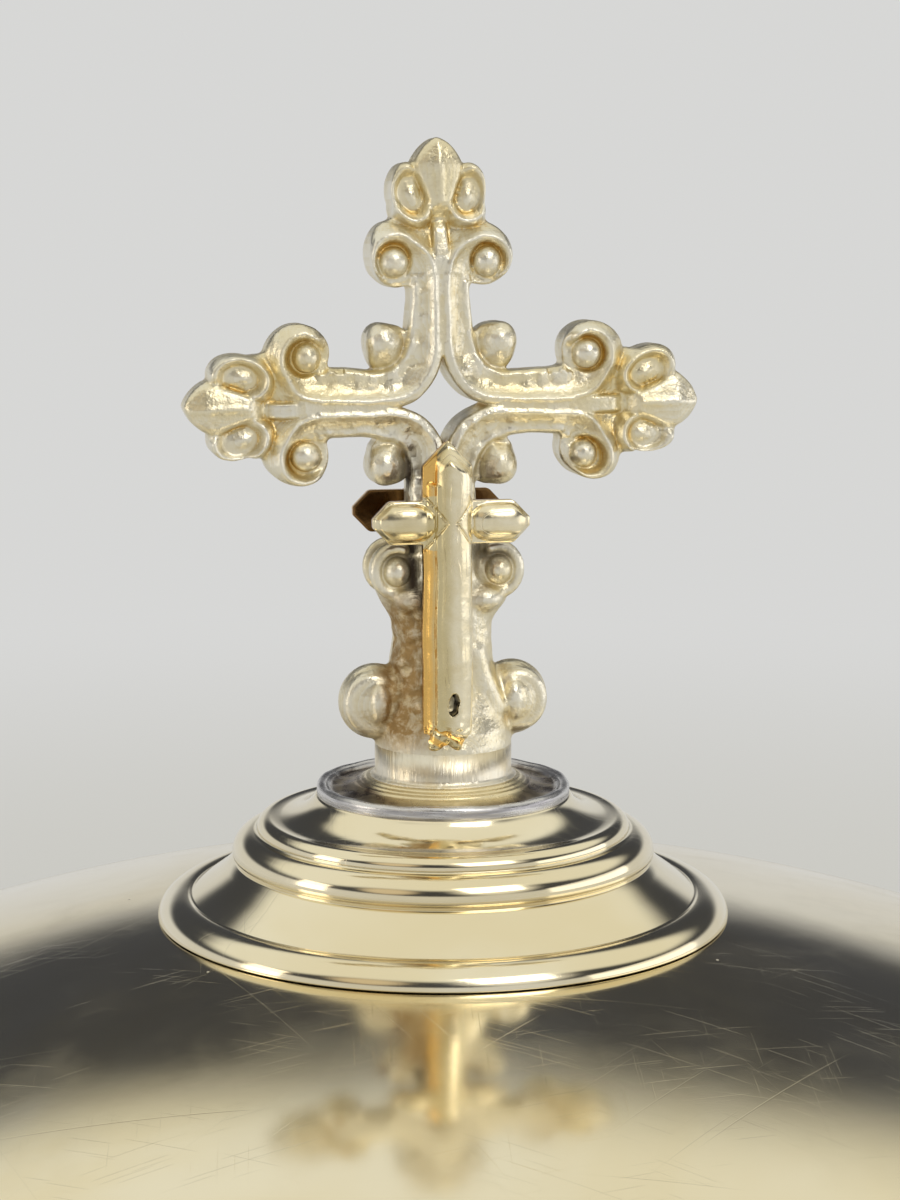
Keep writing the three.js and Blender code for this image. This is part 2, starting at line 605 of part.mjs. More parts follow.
const lidWasherZ = lidSeatZ - WASHER_T / 2;
const lidNutZ = lidWasherZ - LID_NUT_H;
const lid = new THREE.Group();
lid.add(
  piece('lid_bezel', lidBezel(), 'gilt'),
  piece('lid_rim', lidRim(), 'gilt'),
  piece('lid_dome', lidDome(), 'gilt'),
  piece('boss', boss(), 'gilt'),
  piece('finial_washer', washer(studHoleR, LID_WASHER_R, lidWasherZ, WASHER_T / 2), 'brass'),
  piece('finial_nut', hexNut(LID_NUT_FLATS, studHoleR, lidNutZ, LID_NUT_H), 'brass'),
  piece('finial_stud', rod(STUD_R, lidNutZ - THREAD_END, postZ + SPIGOT_DEPTH), 'brass'),
  piece('finial_disc', finialDisc(), 'tarnish'),
  piece('cross_ferrule', ferrule(), 'castGilt'),
);

const finial = new THREE.Group();
finial.position.z = crossingZ;
finial.add(
  piece('cross_casting', crossCasting(), 'castGilt'),
  piece('front_applied_cross', appliedCross(0), 'gold'),
  piece('back_applied_cross', appliedCross(Math.PI), 'gold'),
);
lid.add(finial);

const ciborium = new THREE.Group();
ciborium.add(vessel, lid);

export default ciborium;
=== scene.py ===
"""Looks of a gilt ciborium: spun vessel and lid, and a cast openwork cross finial.

Shapes are worked out in millimetres about the vessel's axis and written to the meshes in metres. The front
faces -Y. The crosses are sculpted as fields of distances about their crossing: x across, z up, y through the
thickness.
"""
import json
import math
import bpy
import bmesh
import numpy as np
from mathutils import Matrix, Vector


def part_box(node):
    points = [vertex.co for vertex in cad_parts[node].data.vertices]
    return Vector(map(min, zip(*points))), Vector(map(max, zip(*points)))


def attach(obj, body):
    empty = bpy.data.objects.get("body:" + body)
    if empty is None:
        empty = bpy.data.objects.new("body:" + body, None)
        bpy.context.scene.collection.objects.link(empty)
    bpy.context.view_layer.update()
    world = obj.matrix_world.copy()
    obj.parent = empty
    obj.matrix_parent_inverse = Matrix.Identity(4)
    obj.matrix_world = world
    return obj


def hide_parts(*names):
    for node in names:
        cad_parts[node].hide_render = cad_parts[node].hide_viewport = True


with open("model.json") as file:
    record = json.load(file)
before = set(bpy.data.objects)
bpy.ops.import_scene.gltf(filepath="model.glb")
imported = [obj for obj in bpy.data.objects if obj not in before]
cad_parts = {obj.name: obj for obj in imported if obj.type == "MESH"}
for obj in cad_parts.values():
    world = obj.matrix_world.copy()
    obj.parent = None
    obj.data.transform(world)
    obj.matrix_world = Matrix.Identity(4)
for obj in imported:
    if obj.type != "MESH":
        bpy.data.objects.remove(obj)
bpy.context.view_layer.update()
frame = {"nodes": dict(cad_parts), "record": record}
record = frame["record"]
body_of_node = {node: body for body, nodes in record["behaviour"]["bodies"].items() for node in nodes}

MM = 0.001                    # metres in a millimetre
SEGMENTS = 256                # facets round a spun piece
KNOP_SEGMENTS = 192           # round the knop
SMALL_SEGMENTS = 160          # round a collar or stem
SLIGHT_TURN, SLIGHT_CUT = math.radians(14), 0.04      # a corner below either isn't softened
TINY = 1e-6                   # millimetres that count as none
MARGIN = 1.2                  # how far past a solid its blend can reach
HOLLOW_REACH = 0.6            # how far round a point its hollow is averaged


def extent(node):
    """Outer radius, lowest and highest level of a round CAD node, in millimetres."""
    low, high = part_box(node)
    return high.x / MM, low.z / MM, high.z / MM


# ---- meshes ----

def mesh_object(name, points, faces):
    """A smooth-shaded object from points in millimetres and equal-sided faces, or lists of faces."""
    mesh = bpy.data.meshes.new(name)
    mesh.from_pydata((np.asarray(points, float) * MM).tolist(), [], np.asarray(faces).tolist())
    mesh.shade_smooth()
    piece = bpy.data.objects.new(name, mesh)
    bpy.context.scene.collection.objects.link(piece)
    return piece


def arc(r, z, radius_r, radius_z, start, end, step=4):
    """Points on an ellipse's arc about (r, z); angles in degrees from outwards, both ends included."""
    count = max(2, int(abs(end - start) / step) + 1)
    angles = np.radians(np.linspace(start, end, count))
    return [(r + radius_r * math.cos(t), z + radius_z * math.sin(t)) for t in angles]


def soften(profile, radius=0.25):
    """The profile with each plain corner rounded. Slight turns and points on the axis stay as they are."""
    out = []
    count = len(profile)
    for i, here in enumerate(profile):
        before, here, after = (Vector(profile[j % count]) for j in (i - 1, i, i + 1))
        inward, outward = here - before, after - here
        if min(inward.length, outward.length) < TINY or here.x < TINY:
            out.append(tuple(here))
            continue
        cut = min(radius, 0.45 * inward.length, 0.45 * outward.length)
        if inward.angle(outward) < SLIGHT_TURN or cut < SLIGHT_CUT:
            out.append(tuple(here))
            continue
        start, end = here - inward.normalized() * cut, here + outward.normalized() * cut
        out += [tuple((1 - t) ** 2 * start + 2 * t * (1 - t) * here + t * t * end)
                for t in (0, 0.25, 0.5, 0.75, 1)]
    return out


def turned(name, profile, segments=SEGMENTS, wobble=None):
    """A solid of revolution. The profile, anticlockwise, closes on itself or starts and ends on the axis.
    A point that repeats the next one is dropped, so no face is without area."""
    profile = np.array(profile, float)
    to_next = np.linalg.norm(np.diff(profile, axis=0, append=profile[:1]), axis=1)
    profile = profile[to_next > TINY]
    on_axis = profile[0, 0] < TINY and profile[-1, 0] < TINY
    rows = len(profile)
    angle = np.linspace(0, 2 * np.pi, segments, endpoint=False)
    r, z = profile[:, 0][:, None], profile[:, 1][:, None]
    if wobble is not None:
        z = z + wobble(r, angle[None, :])
    points = np.stack([r * np.cos(angle), r * np.sin(angle), z + 0 * angle], -1).reshape(-1, 3)
    row = np.arange(rows - 1 if on_axis else rows)[:, None]
    turn = np.arange(segments)[None, :]
    after, round_on = (row + 1) % rows, (turn + 1) % segments
    faces = np.stack([row * segments + turn, row * segments + round_on,
                      after * segments + round_on, after * segments + turn], -1).reshape(-1, 4)
    piece = mesh_object(name, points, faces)
    if on_axis:
        whole = bmesh.new()
        whole.from_mesh(piece.data)
        poles = [v for v in whole.verts if v.co.xy.length < 1e-9]
        bmesh.ops.remove_doubles(whole, verts=poles, dist=1e-7)
        whole.to_mesh(piece.data)
        whole.free()
    return piece


def dress(piece, material, *nodes):
    """The piece takes the given material and the body of the CAD nodes it stands for, whose meshes are
    hidden.
    """
    piece.data.materials.clear()
    piece.data.materials.append(material)
    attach(piece, body_of_node[nodes[0]])
    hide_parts(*nodes)
    return piece


def spun(name, profile, material, node, corner=0.25, **shape):
    """A turned piece with softened corners that stands for a CAD node."""
    return dress(turned(name, soften(profile, corner), **shape), material, node)


# ---- fields of distances ----

def smooth_min(a, b, blend):
    share = np.clip(0.5 + 0.5 * (b - a) / blend, 0, 1)
    return b + (a - b) * share - blend * share * (1 - share)


def smooth_max(a, b, blend):
    return -smooth_min(-a, -b, blend)


def smooth_step(low, high, value):
    t = np.clip((value - low) / (high - low), 0, 1)
    return t * t * (3 - 2 * t)


def bump(distance, width):
    return np.exp(-((distance / width) ** 2))


def blurred(field, reach):
    """The field averaged over a box of 2 reach + 1 samples each way."""
    for axis in range(field.ndim):
        field = blurred_along(field, reach, axis)
    return field


def blurred_along(field, reach, axis):
    """The field averaged over 2 reach + 1 samples along one axis."""
    pad = [(0, 0)] * field.ndim
    pad[axis] = (reach + 1, reach)
    total = np.cumsum(np.pad(field, pad, mode="edge"), axis=axis, dtype=np.float64)
    width, count = 2 * reach + 1, field.shape[axis]
    front = np.take(total, range(width, width + count), axis=axis)
    back = np.take(total, range(count), axis=axis)
    return ((front - back) / width).astype(np.float32)


def unit_noise(noise):
    """The noise scaled so that its bumps are about 1 high."""
    return noise / (2.2 * noise.std())


def grain(shape, reach, seed):
    """Smooth random bumps between about -1 and 1, a given number of samples across."""
    noise = np.random.default_rng(seed).standard_normal(shape).astype(np.float32)
    for _ in range(2):
        noise = blurred(noise, reach)
    return unit_noise(noise)


def surface_net(field, origin, step):
    """Points and four-sided faces of the surface where a sampled field crosses zero, negative inside.
    Each cell that the surface crosses holds one point, the middle of the crossings on its edges.
    The third result is each point's cell."""
    inside = field < 0
    sample_shape = field.shape
    crossings, cells, quads = [], [], []
    for axis in range(3):
        u, v = (axis + 1) % 3, (axis + 2) % 3
        low, high = [slice(None)] * 3, [slice(None)] * 3
        low[axis], high[axis] = slice(0, -1), slice(1, None)
        low, high = tuple(low), tuple(high)
        crossed = inside[low] != inside[high]
        index = np.argwhere(crossed)
        near, far = field[low][crossed], field[high][crossed]
        point = index.astype(float)
        point[:, axis] += near / (near - far)
        around = []
        for du, dv in ((1, 1), (0, 1), (0, 0), (1, 0)):
            cell = index.copy()
            cell[:, u] -= du
            cell[:, v] -= dv
            around.append(np.ravel_multi_index(cell.T, sample_shape))
        around = np.stack(around, 1)
        crossings.append(np.repeat(point, 4, axis=0))
        cells.append(around.ravel())
        leaving = inside[low][crossed]
        quads.append(np.where(leaving[:, None], around, around[:, ::-1]))
    crossings, cells, quads = np.concatenate(crossings), np.concatenate(cells), np.concatenate(quads)
    used, which = np.unique(cells, return_inverse=True)
    share = np.bincount(which)
    points = np.stack([np.bincount(which, crossings[:, k]) / share for k in range(3)], 1)
    used_cells = np.stack(np.unravel_index(used, sample_shape), 1)
    return points * step + origin, np.searchsorted(used, quads), used_cells


class Block:
    """A box of samples of a field of distances, in millimetres, that solids are added to."""

    FAR = 9.0                     # the distance where there is nothing near

    def __init__(self, low, high, step):
        self.low, self.step = np.array(low, float), step
        self.axes = [np.arange(a, b, step) for a, b in zip(low, high)]
        self.field = np.full([len(a) for a in self.axes], self.FAR, np.float32)

    def window(self, low, high):
        """The slices of the samples between two corners, and their coordinates ready to broadcast."""
        cuts = [slice(*np.searchsorted(axis, (a, b))) for axis, a, b in zip(self.axes, low, high)]
        grids = [axis[cut].reshape([-1 if i == k else 1 for i in range(3)])
                 for k, (axis, cut) in enumerate(zip(self.axes, cuts))]
        return tuple(cuts), grids

    def ellipsoid(self, centre, radii, blend=0.4, cut=False):
        """Adds an ellipsoid, or takes it away, with its edge blended into what is there."""
        centre, radii = np.array(centre, float), np.array(radii, float)
        cuts, (x, y, z) = self.window(centre - radii - MARGIN, centre + radii + MARGIN)
        q = np.sqrt(((x - centre[0]) / radii[0]) ** 2 + ((y - centre[1]) / radii[1]) ** 2
                    + ((z - centre[2]) / radii[2]) ** 2)
        distance = (q - 1) * radii.min()
        here = self.field[cuts]
        self.field[cuts] = (smooth_max(here, -distance, blend) if cut
                            else smooth_min(here, distance, blend))

    def cord(self, points, radius, blend=0.35):
        """A round ridge through the points."""
        points = np.array(points, float)
        cuts, (x, y, z) = self.window(points.min(0) - radius - 1, points.max(0) + radius + 1)
        nearest = np.full(np.broadcast(x, y, z).shape, self.FAR)
        for a, b in zip(points, points[1:]):
            d = b - a
            t = np.clip(((x - a[0]) * d[0] + (y - a[1]) * d[1] + (z - a[2]) * d[2]) / (d @ d), 0, 1)
            nearest = np.minimum(nearest, np.sqrt((x - a[0] - t * d[0]) ** 2 + (y - a[1] - t * d[1]) ** 2
                                                  + (z - a[2] - t * d[2]) ** 2))
        self.field[cuts] = smooth_min(self.field[cuts], nearest - radius, blend)

    def mesh(self, name, place=(0, 0, 0)):
        """The surface as an object moved to place, and its points before that move.
        How deep in a hollow each point lies is its "hollow" attribute."""
        points, quads, cells = surface_net(self.field, self.low, self.step)
        piece = mesh_object(name, points + np.array(place), quads)
        wide = blurred(np.clip(self.field, -1.5, 1.5), round(HOLLOW_REACH / self.step))
        self.add(piece, "hollow", -wide[tuple(cells.T)])
        return piece, points

    @staticmethod
    def add(piece, name, values):
        """Gives each point of the piece a number that its material reads by name."""
        attribute = piece.data.attributes.new(name, "FLOAT", "POINT")
        attribute.data.foreach_set("value", np.asarray(values, np.float32))


# ---- the cast cross ----

# Places are from the middle of the crossing, as (along the arm, to its side).
FINE_STEP = 0.15              # between samples
CROSS_STEP = 0.15
CORNER, CORNER_R = 5.85, 3.1  # centre and radius of the outline's inner corners
NECK = CORNER - CORNER_R      # half width of an arm between the bud and the volute
SCROLL, RIDGE_R = 5.0, 4.45   # centre of the curves at the crossing, and radius of their raised line
HOLE_R = 5.12                 # radius of the hole's curved sides
WEB = SCROLL - RIDGE_R        # half width of the flat strip along an arm
EYE = (11.75, 4.1)            # the ball in a volute
CURL_TURN = (-130, -107, -80, -60, -42, 0, 50, 86, 117, 150, 180)
CURL_R = (4.0, 3.60, 3.0, 2.45, 2.12, 2.02, 2.05, 1.98, 1.72, 1.5, 1.4)     # the raised line round the ball
VOLUTE = (12.35, 4.05, 2.65, 2.47, 0.0)             # ellipses: centre, half axes, tilt
LOBE = (17.0, 2.45, 2.75, 1.85, math.radians(16))
LEAF_MIDDLE, LEAF_HALF, LEAF_WIDTH = 18.2, 3.38, 2.6
BUD = (4.5, 4.68, 1.64, 1.88)                       # centre and half sides
POST_HEIGHT = 29.1            # from the ferrule up to the crossing
ARMS_RISE = 0.0078            # of the arms' line for each millimetre to the right


def ellipse(a, l, middle_a, middle_l, long, short, tilt):
    """How far out of an ellipse each point is, as a share of its radius."""
    along = (a - middle_a) * math.cos(tilt) + (l - middle_l) * math.sin(tilt)
    across = (l - middle_l) * math.cos(tilt) - (a - middle_a) * math.sin(tilt)
    return np.sqrt((along / long) ** 2 + (across / short) ** 2)


def rounded_box(a, l, middle_a, middle_l, half_a, half_l, rounding):
    """Signed distance to a rectangle with rounded corners."""
    da, dl = np.abs(a - middle_a) - half_a + rounding, np.abs(l - middle_l) - half_l + rounding
    return np.hypot(np.maximum(da, 0), np.maximum(dl, 0)) + np.minimum(np.maximum(da, dl), 0) - rounding


def arm_coordinates(x, z, slimmer=0.11):
    """Distance along the nearest arm, and to the side of its axis, and whether that arm is the post.
    The top arm is a little slimmer."""
    upright = np.abs(z) > np.abs(x)
    along = np.where(upright, np.abs(z), np.abs(x))
    side = np.where(upright, np.abs(x), np.abs(z))
    slim = slimmer * smooth_step(5.5, 10, along) * (upright & (z > 0))
    return along, side * (1 + slim), upright & (z < 0)


def hole_distance(x, z):
    """Distance from the pierced hole, whose four sides curve in. Positive in the metal."""
    u, v = np.abs(x), np.abs(z)
    return np.where((u < SCROLL) & (v < SCROLL), HOLE_R - np.hypot(u - SCROLL, v - SCROLL), Block.FAR)


def cross_outline(x, z):
    """Signed distance to the front view's outline, negative inside."""
    a, l, is_post = arm_coordinates(x, z)
    u, v = np.abs(x), np.abs(z)
    corner = (u < CORNER) & (v < CORNER)
    plus = np.where(corner, CORNER_R - np.hypot(u - CORNER, v - CORNER), l - NECK)
    arm = smooth_max(plus, a - 14, 0.3)
    arm = smooth_min(arm, (ellipse(a, l, *VOLUTE) - 1) * VOLUTE[3], 0.7)
    arm = smooth_min(arm, rounded_box(a, l, 14.6, 0, 2.0, 4.3, 1.0), 0.45)
    arm = smooth_min(arm, (ellipse(a, l, *LOBE) - 1) * LOBE[3], 0.3)
    leaf_r = (LEAF_HALF ** 2 + LEAF_WIDTH ** 2) / (2 * LEAF_WIDTH)
    arm = smooth_min(arm, np.hypot(a - LEAF_MIDDLE, l + leaf_r - LEAF_WIDTH) - leaf_r, 0.25)
    outline = np.where(is_post, smooth_max(plus, a - 12, 0.3), arm)
    outline = smooth_min(outline, rounded_box(u, v, *BUD, 1.25), 0.5)
    return smooth_max(outline, -hole_distance(x, z), 0.3)


def terminal_relief(a, l):
    """A pointed keeled leaf between two dished lobes."""
    lobe = ellipse(a, l, 17.1, 2.55, 2.65, 2.0, math.radians(12))
    base_end = smooth_step(17.0, 15.0, a)
    height = 1.15 + 0.85 * smooth_step(1.3, 0.85, lobe)
    height += (0.36 + 0.34 * base_end) * bump(lobe - 0.84, 0.14)
    height -= 0.50 * smooth_step(0.74, 0.50, lobe)
    height += 0.30 * bump(ellipse(a, l, 16.9, 2.5, 1.0, 0.6, math.radians(12)), 0.85)
    half_width = 0.35 + 0.44 * np.maximum(a - 15.0, 0)
    edge = (l - half_width) * 0.92
    leaf = 2.55 - 0.10 * l - 0.075 * l ** 2 + 0.10 * bump(l, 0.3)
    height += (leaf - height) * smooth_step(0.26, -0.26, edge) * smooth_step(14.6, 16.7, a)
    height -= 0.24 * bump(edge - 0.1, 0.24) * smooth_step(15.4, 16.4, a) * smooth_step(20.3, 19.3, a)
    return height * (1 - 0.28 * smooth_step(19.4, 21.9, a))


def cross_relief(x, z, outline):
    """Half the thickness of the cross at each point of its front view."""
    floor, crest, flat, edge = 1.68, 2.60, 2.42, 1.10     # the channel, the raised line, the strip, the rim
    a, l, is_post = arm_coordinates(x, z, 0.06)
    u, v = np.abs(x), np.abs(z)

    # How far each point is past the raised line, towards the channel. It follows the arm, then curls.
    corner = (u < SCROLL) & (v < SCROLL)
    run = np.where(corner, RIDGE_R - np.hypot(u - SCROLL, v - SCROLL), l - WEB)
    from_eye = np.hypot(a - EYE[0], l - EYE[1])
    turn = np.degrees(np.arctan2(l - EYE[1], a - EYE[0]))
    turn = np.where(turn < -150, turn + 360, turn)
    curl = np.interp(turn, CURL_TURN, CURL_R) - from_eye
    at_curl = ((a > 10.6) | (l > 2.6)) & (a > 8.5) & ~is_post
    side = np.where(at_curl, curl, run)

    # Channel on one side of the line, flat strip on the other, and a shoulder where there is no strip.
    drop = np.sqrt(np.maximum(side, 0) ** 2 + 0.02) - 0.14
    channel = floor + (crest - floor) * np.exp(-drop / 0.62)
    strip = flat + (crest - flat) * bump(side, 0.17)
    strip = np.where(is_post, strip, strip - 0.42 * smooth_step(11.6, 14.8, a))
    fall = np.sqrt(np.minimum(side, 0) ** 2 + 0.03) - 0.17
    shoulder = edge + (crest - edge) * np.exp(-fall / 0.85)
    on_strip = np.where(at_curl, smooth_step(0.8, 0.5, l), 1.0)
    height = np.where(side > 0, channel, shoulder + (np.maximum(strip, shoulder) - shoulder) * on_strip)

    # Close to the ball the line runs out on the crossing's side, and round the ball the dish is deepest.
    wrapped = smooth_step(-150, -95, turn) * smooth_step(165, 110, turn)
    wrapped = 1 - (1 - wrapped) * smooth_step(2.4, 1.9, from_eye) * ~is_post * at_curl
    height = 1.45 + (height - 1.45) * wrapped
    height = height - 0.55 * wrapped * smooth_step(1.75, 1.25, from_eye) * ~is_post
    height += 0.14 * bump(-outline - 0.35, 0.3) * ((a < 10) | is_post)

    # The hole's rim, the buds and the leaf ends take over from what is under them.
    rim = hole_distance(x, z)
    height += (2.52 - height) * bump(np.maximum(rim - 0.35, 0), 0.3)
    bud = np.hypot((u - 4.85) / 1.75, (v - 5.05) / 2.0)
    height += (1.15 + 1.15 * np.maximum(1 - bud ** 2, 0) ** 0.8 - height) * smooth_step(1.25, 0.85, bud)
    terminal = smooth_step(13.0, 13.6, a) * ~is_post
    height += (smooth_max(height, terminal_relief(a, l), 0.25) - height) * terminal
    beyond = smooth_step(14.0, 15.6, a) * ~is_post
    height += (terminal_relief(a, l) - height) * beyond
    return height


def bend(z):
    """The cross leans a little to the left (-X) as it rises from the ferrule."""
    return -0.12 * smooth_step(-28, -22, z) - 0.00023 * np.maximum(z + 29, 0) ** 2


def post_section(z):
    """Half width and half thickness of the post at each level."""
    levels = [-30, -28.4, -27.2, -26, -24, -22, -19.6, -17.5, -15, -12, -8, -6]
    width = [5.78, 5.78, 5.72, 5.3, 4.75, 4.4, 4.12, 4.25, 3.5, 2.9, 2.6, 2.5]
    thickness = [5.78, 5.77, 5.4, 4.7, 4.0, 3.7, 3.6, 3.6, 3.55, 3.4, 2.7, 2.2]
    return np.interp(z, levels, width), np.interp(z, levels, thickness)


def ring(centre, radii, start, end, forward, count):
    """Points round a ball's front, in the cross's plane: degrees from outwards, counted upwards."""
    side = np.sign(centre[0])
    return [(centre[0] + side * radii[0] * math.cos(t), forward, centre[2] + radii[1] * math.sin(t))
            for t in np.radians(np.linspace(start, end, count))]


def cast_cross(name, place):
    """The casting: a flat relief on both faces, with the post, balls, curls and nubs added as solids.
    Its "stain" says where it is brown; a second attribute says where painted shade, with some grime, darkens
    it beside the small crosses."""
    scale = FINE_STEP / CROSS_STEP
    coarse, fine = max(1, round(9 * scale)), max(1, round(2 * scale))     # samples across a grain
    block = Block((-23, -6.6, -29.6), (23, 6.6, 22.6), CROSS_STEP)
    xs, ys, zs = block.axes
    plan_x, plan_z = np.meshgrid(xs, zs, indexing="ij")
    out = smooth_step(5, 9, np.abs(plan_x))
    x = plan_x - bend(plan_z) * (1 - out)
    z = plan_z - ARMS_RISE * plan_x - 0.12 * out
    shape = x.shape
    warped_x = x + 0.21 * grain(shape, coarse, 3)
    warped_z = z + 0.21 * grain(shape, coarse, 4)
    outline = cross_outline(warped_x, warped_z)
    lower = 0.3 * smooth_step(4, 7, np.abs(x))
    relief = cross_relief(warped_x, warped_z + lower, outline)
    relief = relief + 0.05 * grain(shape, coarse, 5)

    # Dents in the channels run across each arm.
    a, l, _ = arm_coordinates(x, z)
    upright = np.abs(z) > np.abs(x)
    noise = np.random.default_rng(6).standard_normal(shape).astype(np.float32)
    dents_up, dents_across = noise, noise
    for _ in range(2):
        dents_up = blurred_along(blurred_along(dents_up, fine, 0), 2 * fine, 1)
        dents_across = blurred_along(blurred_along(dents_across, fine, 1), 2 * fine, 0)
    dents = np.where(upright, unit_noise(dents_across), unit_noise(dents_up))
    channel = smooth_step(11.5, 10.5, a) * smooth_step(1.0, 1.6, l) * smooth_step(0.15, 0.45, -outline)
    relief = relief + (0.025 + 0.13 * channel) * np.minimum(dents, 0.6)
    relief = relief + (0.012 + 0.035 * channel) * grain(shape, 1, 10)
    depth = np.abs(ys)[None, :, None]
    block.field = smooth_max(outline[:, None, :].astype(np.float32),
                             (depth - relief[:, None, :]).astype(np.float32), 0.6)

    # The post, rough down its dirty left side.
    cuts, (px, py, pz) = block.window((-9, -6.6, -30), (9, 6.6, -6))
    width, thickness = post_section(pz)
    square = 2.0 + 0.6 * smooth_step(-28, -24, pz)
    plan = [len(xs[cuts[0]]), 1, len(zs[cuts[2]])]
    veins = np.abs(grain(plan, max(1, round(5 * scale)), 9))
    rough = 0.12 * grain(plan, fine, 8) + 0.09 * grain(plan, coarse, 7) + 0.12 * bump(veins, 0.16)
    rough = rough * smooth_step(-27.2, -25.0, pz) * (1.2 - 0.9 * smooth_step(-1, 2, px * -np.sign(py)))
    q = (np.abs((px - bend(pz)) / width) ** square + np.abs(py / thickness) ** square) ** (1 / square)
    post = (q - 1) * np.minimum(width, thickness) + rough
    post = smooth_max(post, -POST_HEIGHT - pz, 0.05)
    block.field[cuts] = smooth_min(block.field[cuts], post, 0.9)

    # The masses of the post's curls and nubs, then on each face the balls and raised lines.
    eye_a, eye_l = EYE
    for side in (-1, 1):
        for across, up, radii, blend in ((3.95, -13.9, (2.35, 2.6, 2.35), 0.5),
                                         (3.5, -15.6, (2.0, 2.9, 2.2), 0.8),
                                         (5.9, -25.0, (3.05, 2.5, 3.2), 0.6)):
            block.ellipsoid((side * across, 0, up), radii, blend)
    random = np.random.default_rng(31)
    for face in (-1, 1):
        for side in (-1, 1):
            for x_eye, z_eye in ((side * eye_l / 1.02 + bend(12), eye_a),
                                 (eye_a, side * eye_l - 0.1), (-eye_a, side * eye_l - 0.1)):
                out_x, out_z = random.uniform(-0.14, 0.14, 2)
                block.ellipsoid((x_eye + out_x, face * 1.5, z_eye + ARMS_RISE * x_eye + out_z),
                                random.uniform(1.08, 1.32, 3), 0.22)
            for up in (-1, 1):
                block.ellipsoid((side * 4.95 + bend(up * 5), face * 1.0, up * 5.15), (1.35, 1.5, 1.5), 0.45)
            curl = (side * 4.3, 0, -13.8)
            block.ellipsoid((curl[0], face * 3.0, curl[2]), (1.75, 0.95, 1.85), 0.2, cut=True)
            block.ellipsoid((curl[0], face * 2.0, curl[2]), (1.15, 1.4, 1.25), 0.12)
            block.cord(ring(curl, (1.75, 1.95), 110, -120, face * 2.05, 16), 0.5, 0.35)
            block.ellipsoid((side * 3.1, face * 2.75, -16.2), (1.3, 0.9, 0.9), 0.5)
            nub = (side * 6.3, 0, -25.0)
            block.cord(ring(nub, (1.85, 2.1), -115, 115, face * 1.5, 20), 0.5, 0.5)
            block.ellipsoid((side * 5.7, face * 2.0, -24.9), (0.9, 0.95, 1.7), 0.2)
        keel = [(-face * across, face * forward, up)
                for across, forward, up in ((2.2, 3.05, -20.6), (3.1, 2.95, -23.2), (4.2, 2.6, -25.3))]
        block.cord(keel, 0.42, 1.1)
    piece, points = block.mesh(name, place)

    # Stain, and painted shade with some grime along the small crosses, mostly on each face's own left; the
    # shade also falls past the ends of their bars.
    px, py, pz = points.T
    left = px * -np.sign(py)
    beside_upright = bump(left + 3.0, 0.75) + 0.35 * bump(left - 2.4, 0.6)
    behind_bar = bump(np.maximum(np.abs(pz + 10) - 2.2, 0) + np.maximum(np.abs(px) - 6.5, 0), 1.0)
    near = smooth_step(-2.5, -4.5, pz) * smooth_step(-18.5, -16.0, pz)
    shade_and_grime = np.maximum(beside_upright, 0.6 * behind_bar) * near
    stain = smooth_step(-1.2, -2.4, left) * smooth_step(-14.5, -17.5, pz) * smooth_step(-29.3, -26.5, pz)
    stain_below = 0.25 * smooth_step(-2.0, -5.0, left) * smooth_step(-24, -27, pz)
    block.add(piece, "stain", stain * smooth_step(-6.4, -5.0, left) + stain_below)
    block.add(piece, "shade_and_grime", shade_and_grime)
    return piece


# ---- the small crosses soldered on the post ----

APPLIED_STEP = 0.08
APPLIED_BACK = -3.75          # the plane of the front one's back
APPLIED_THICKNESS = 2.1
HALF_WIDTH = 2.05             # of the upright
GABLE = 2.1                   # height of the upright's pointed top
BAR_HALF, BAR_HALF_HEIGHT = 6.53, 1.78
SLOT_UP = 3.6                 # the slot's middle above the foot
# Facing each small cross: its bar's level from the crossing, and how far left of the axis its upright and
# its bar stand.
FRONT_PLACE = (-9.5, 0.45, 0.1)
BACK_PLACE = (-9.35, -0.5, -0.5)


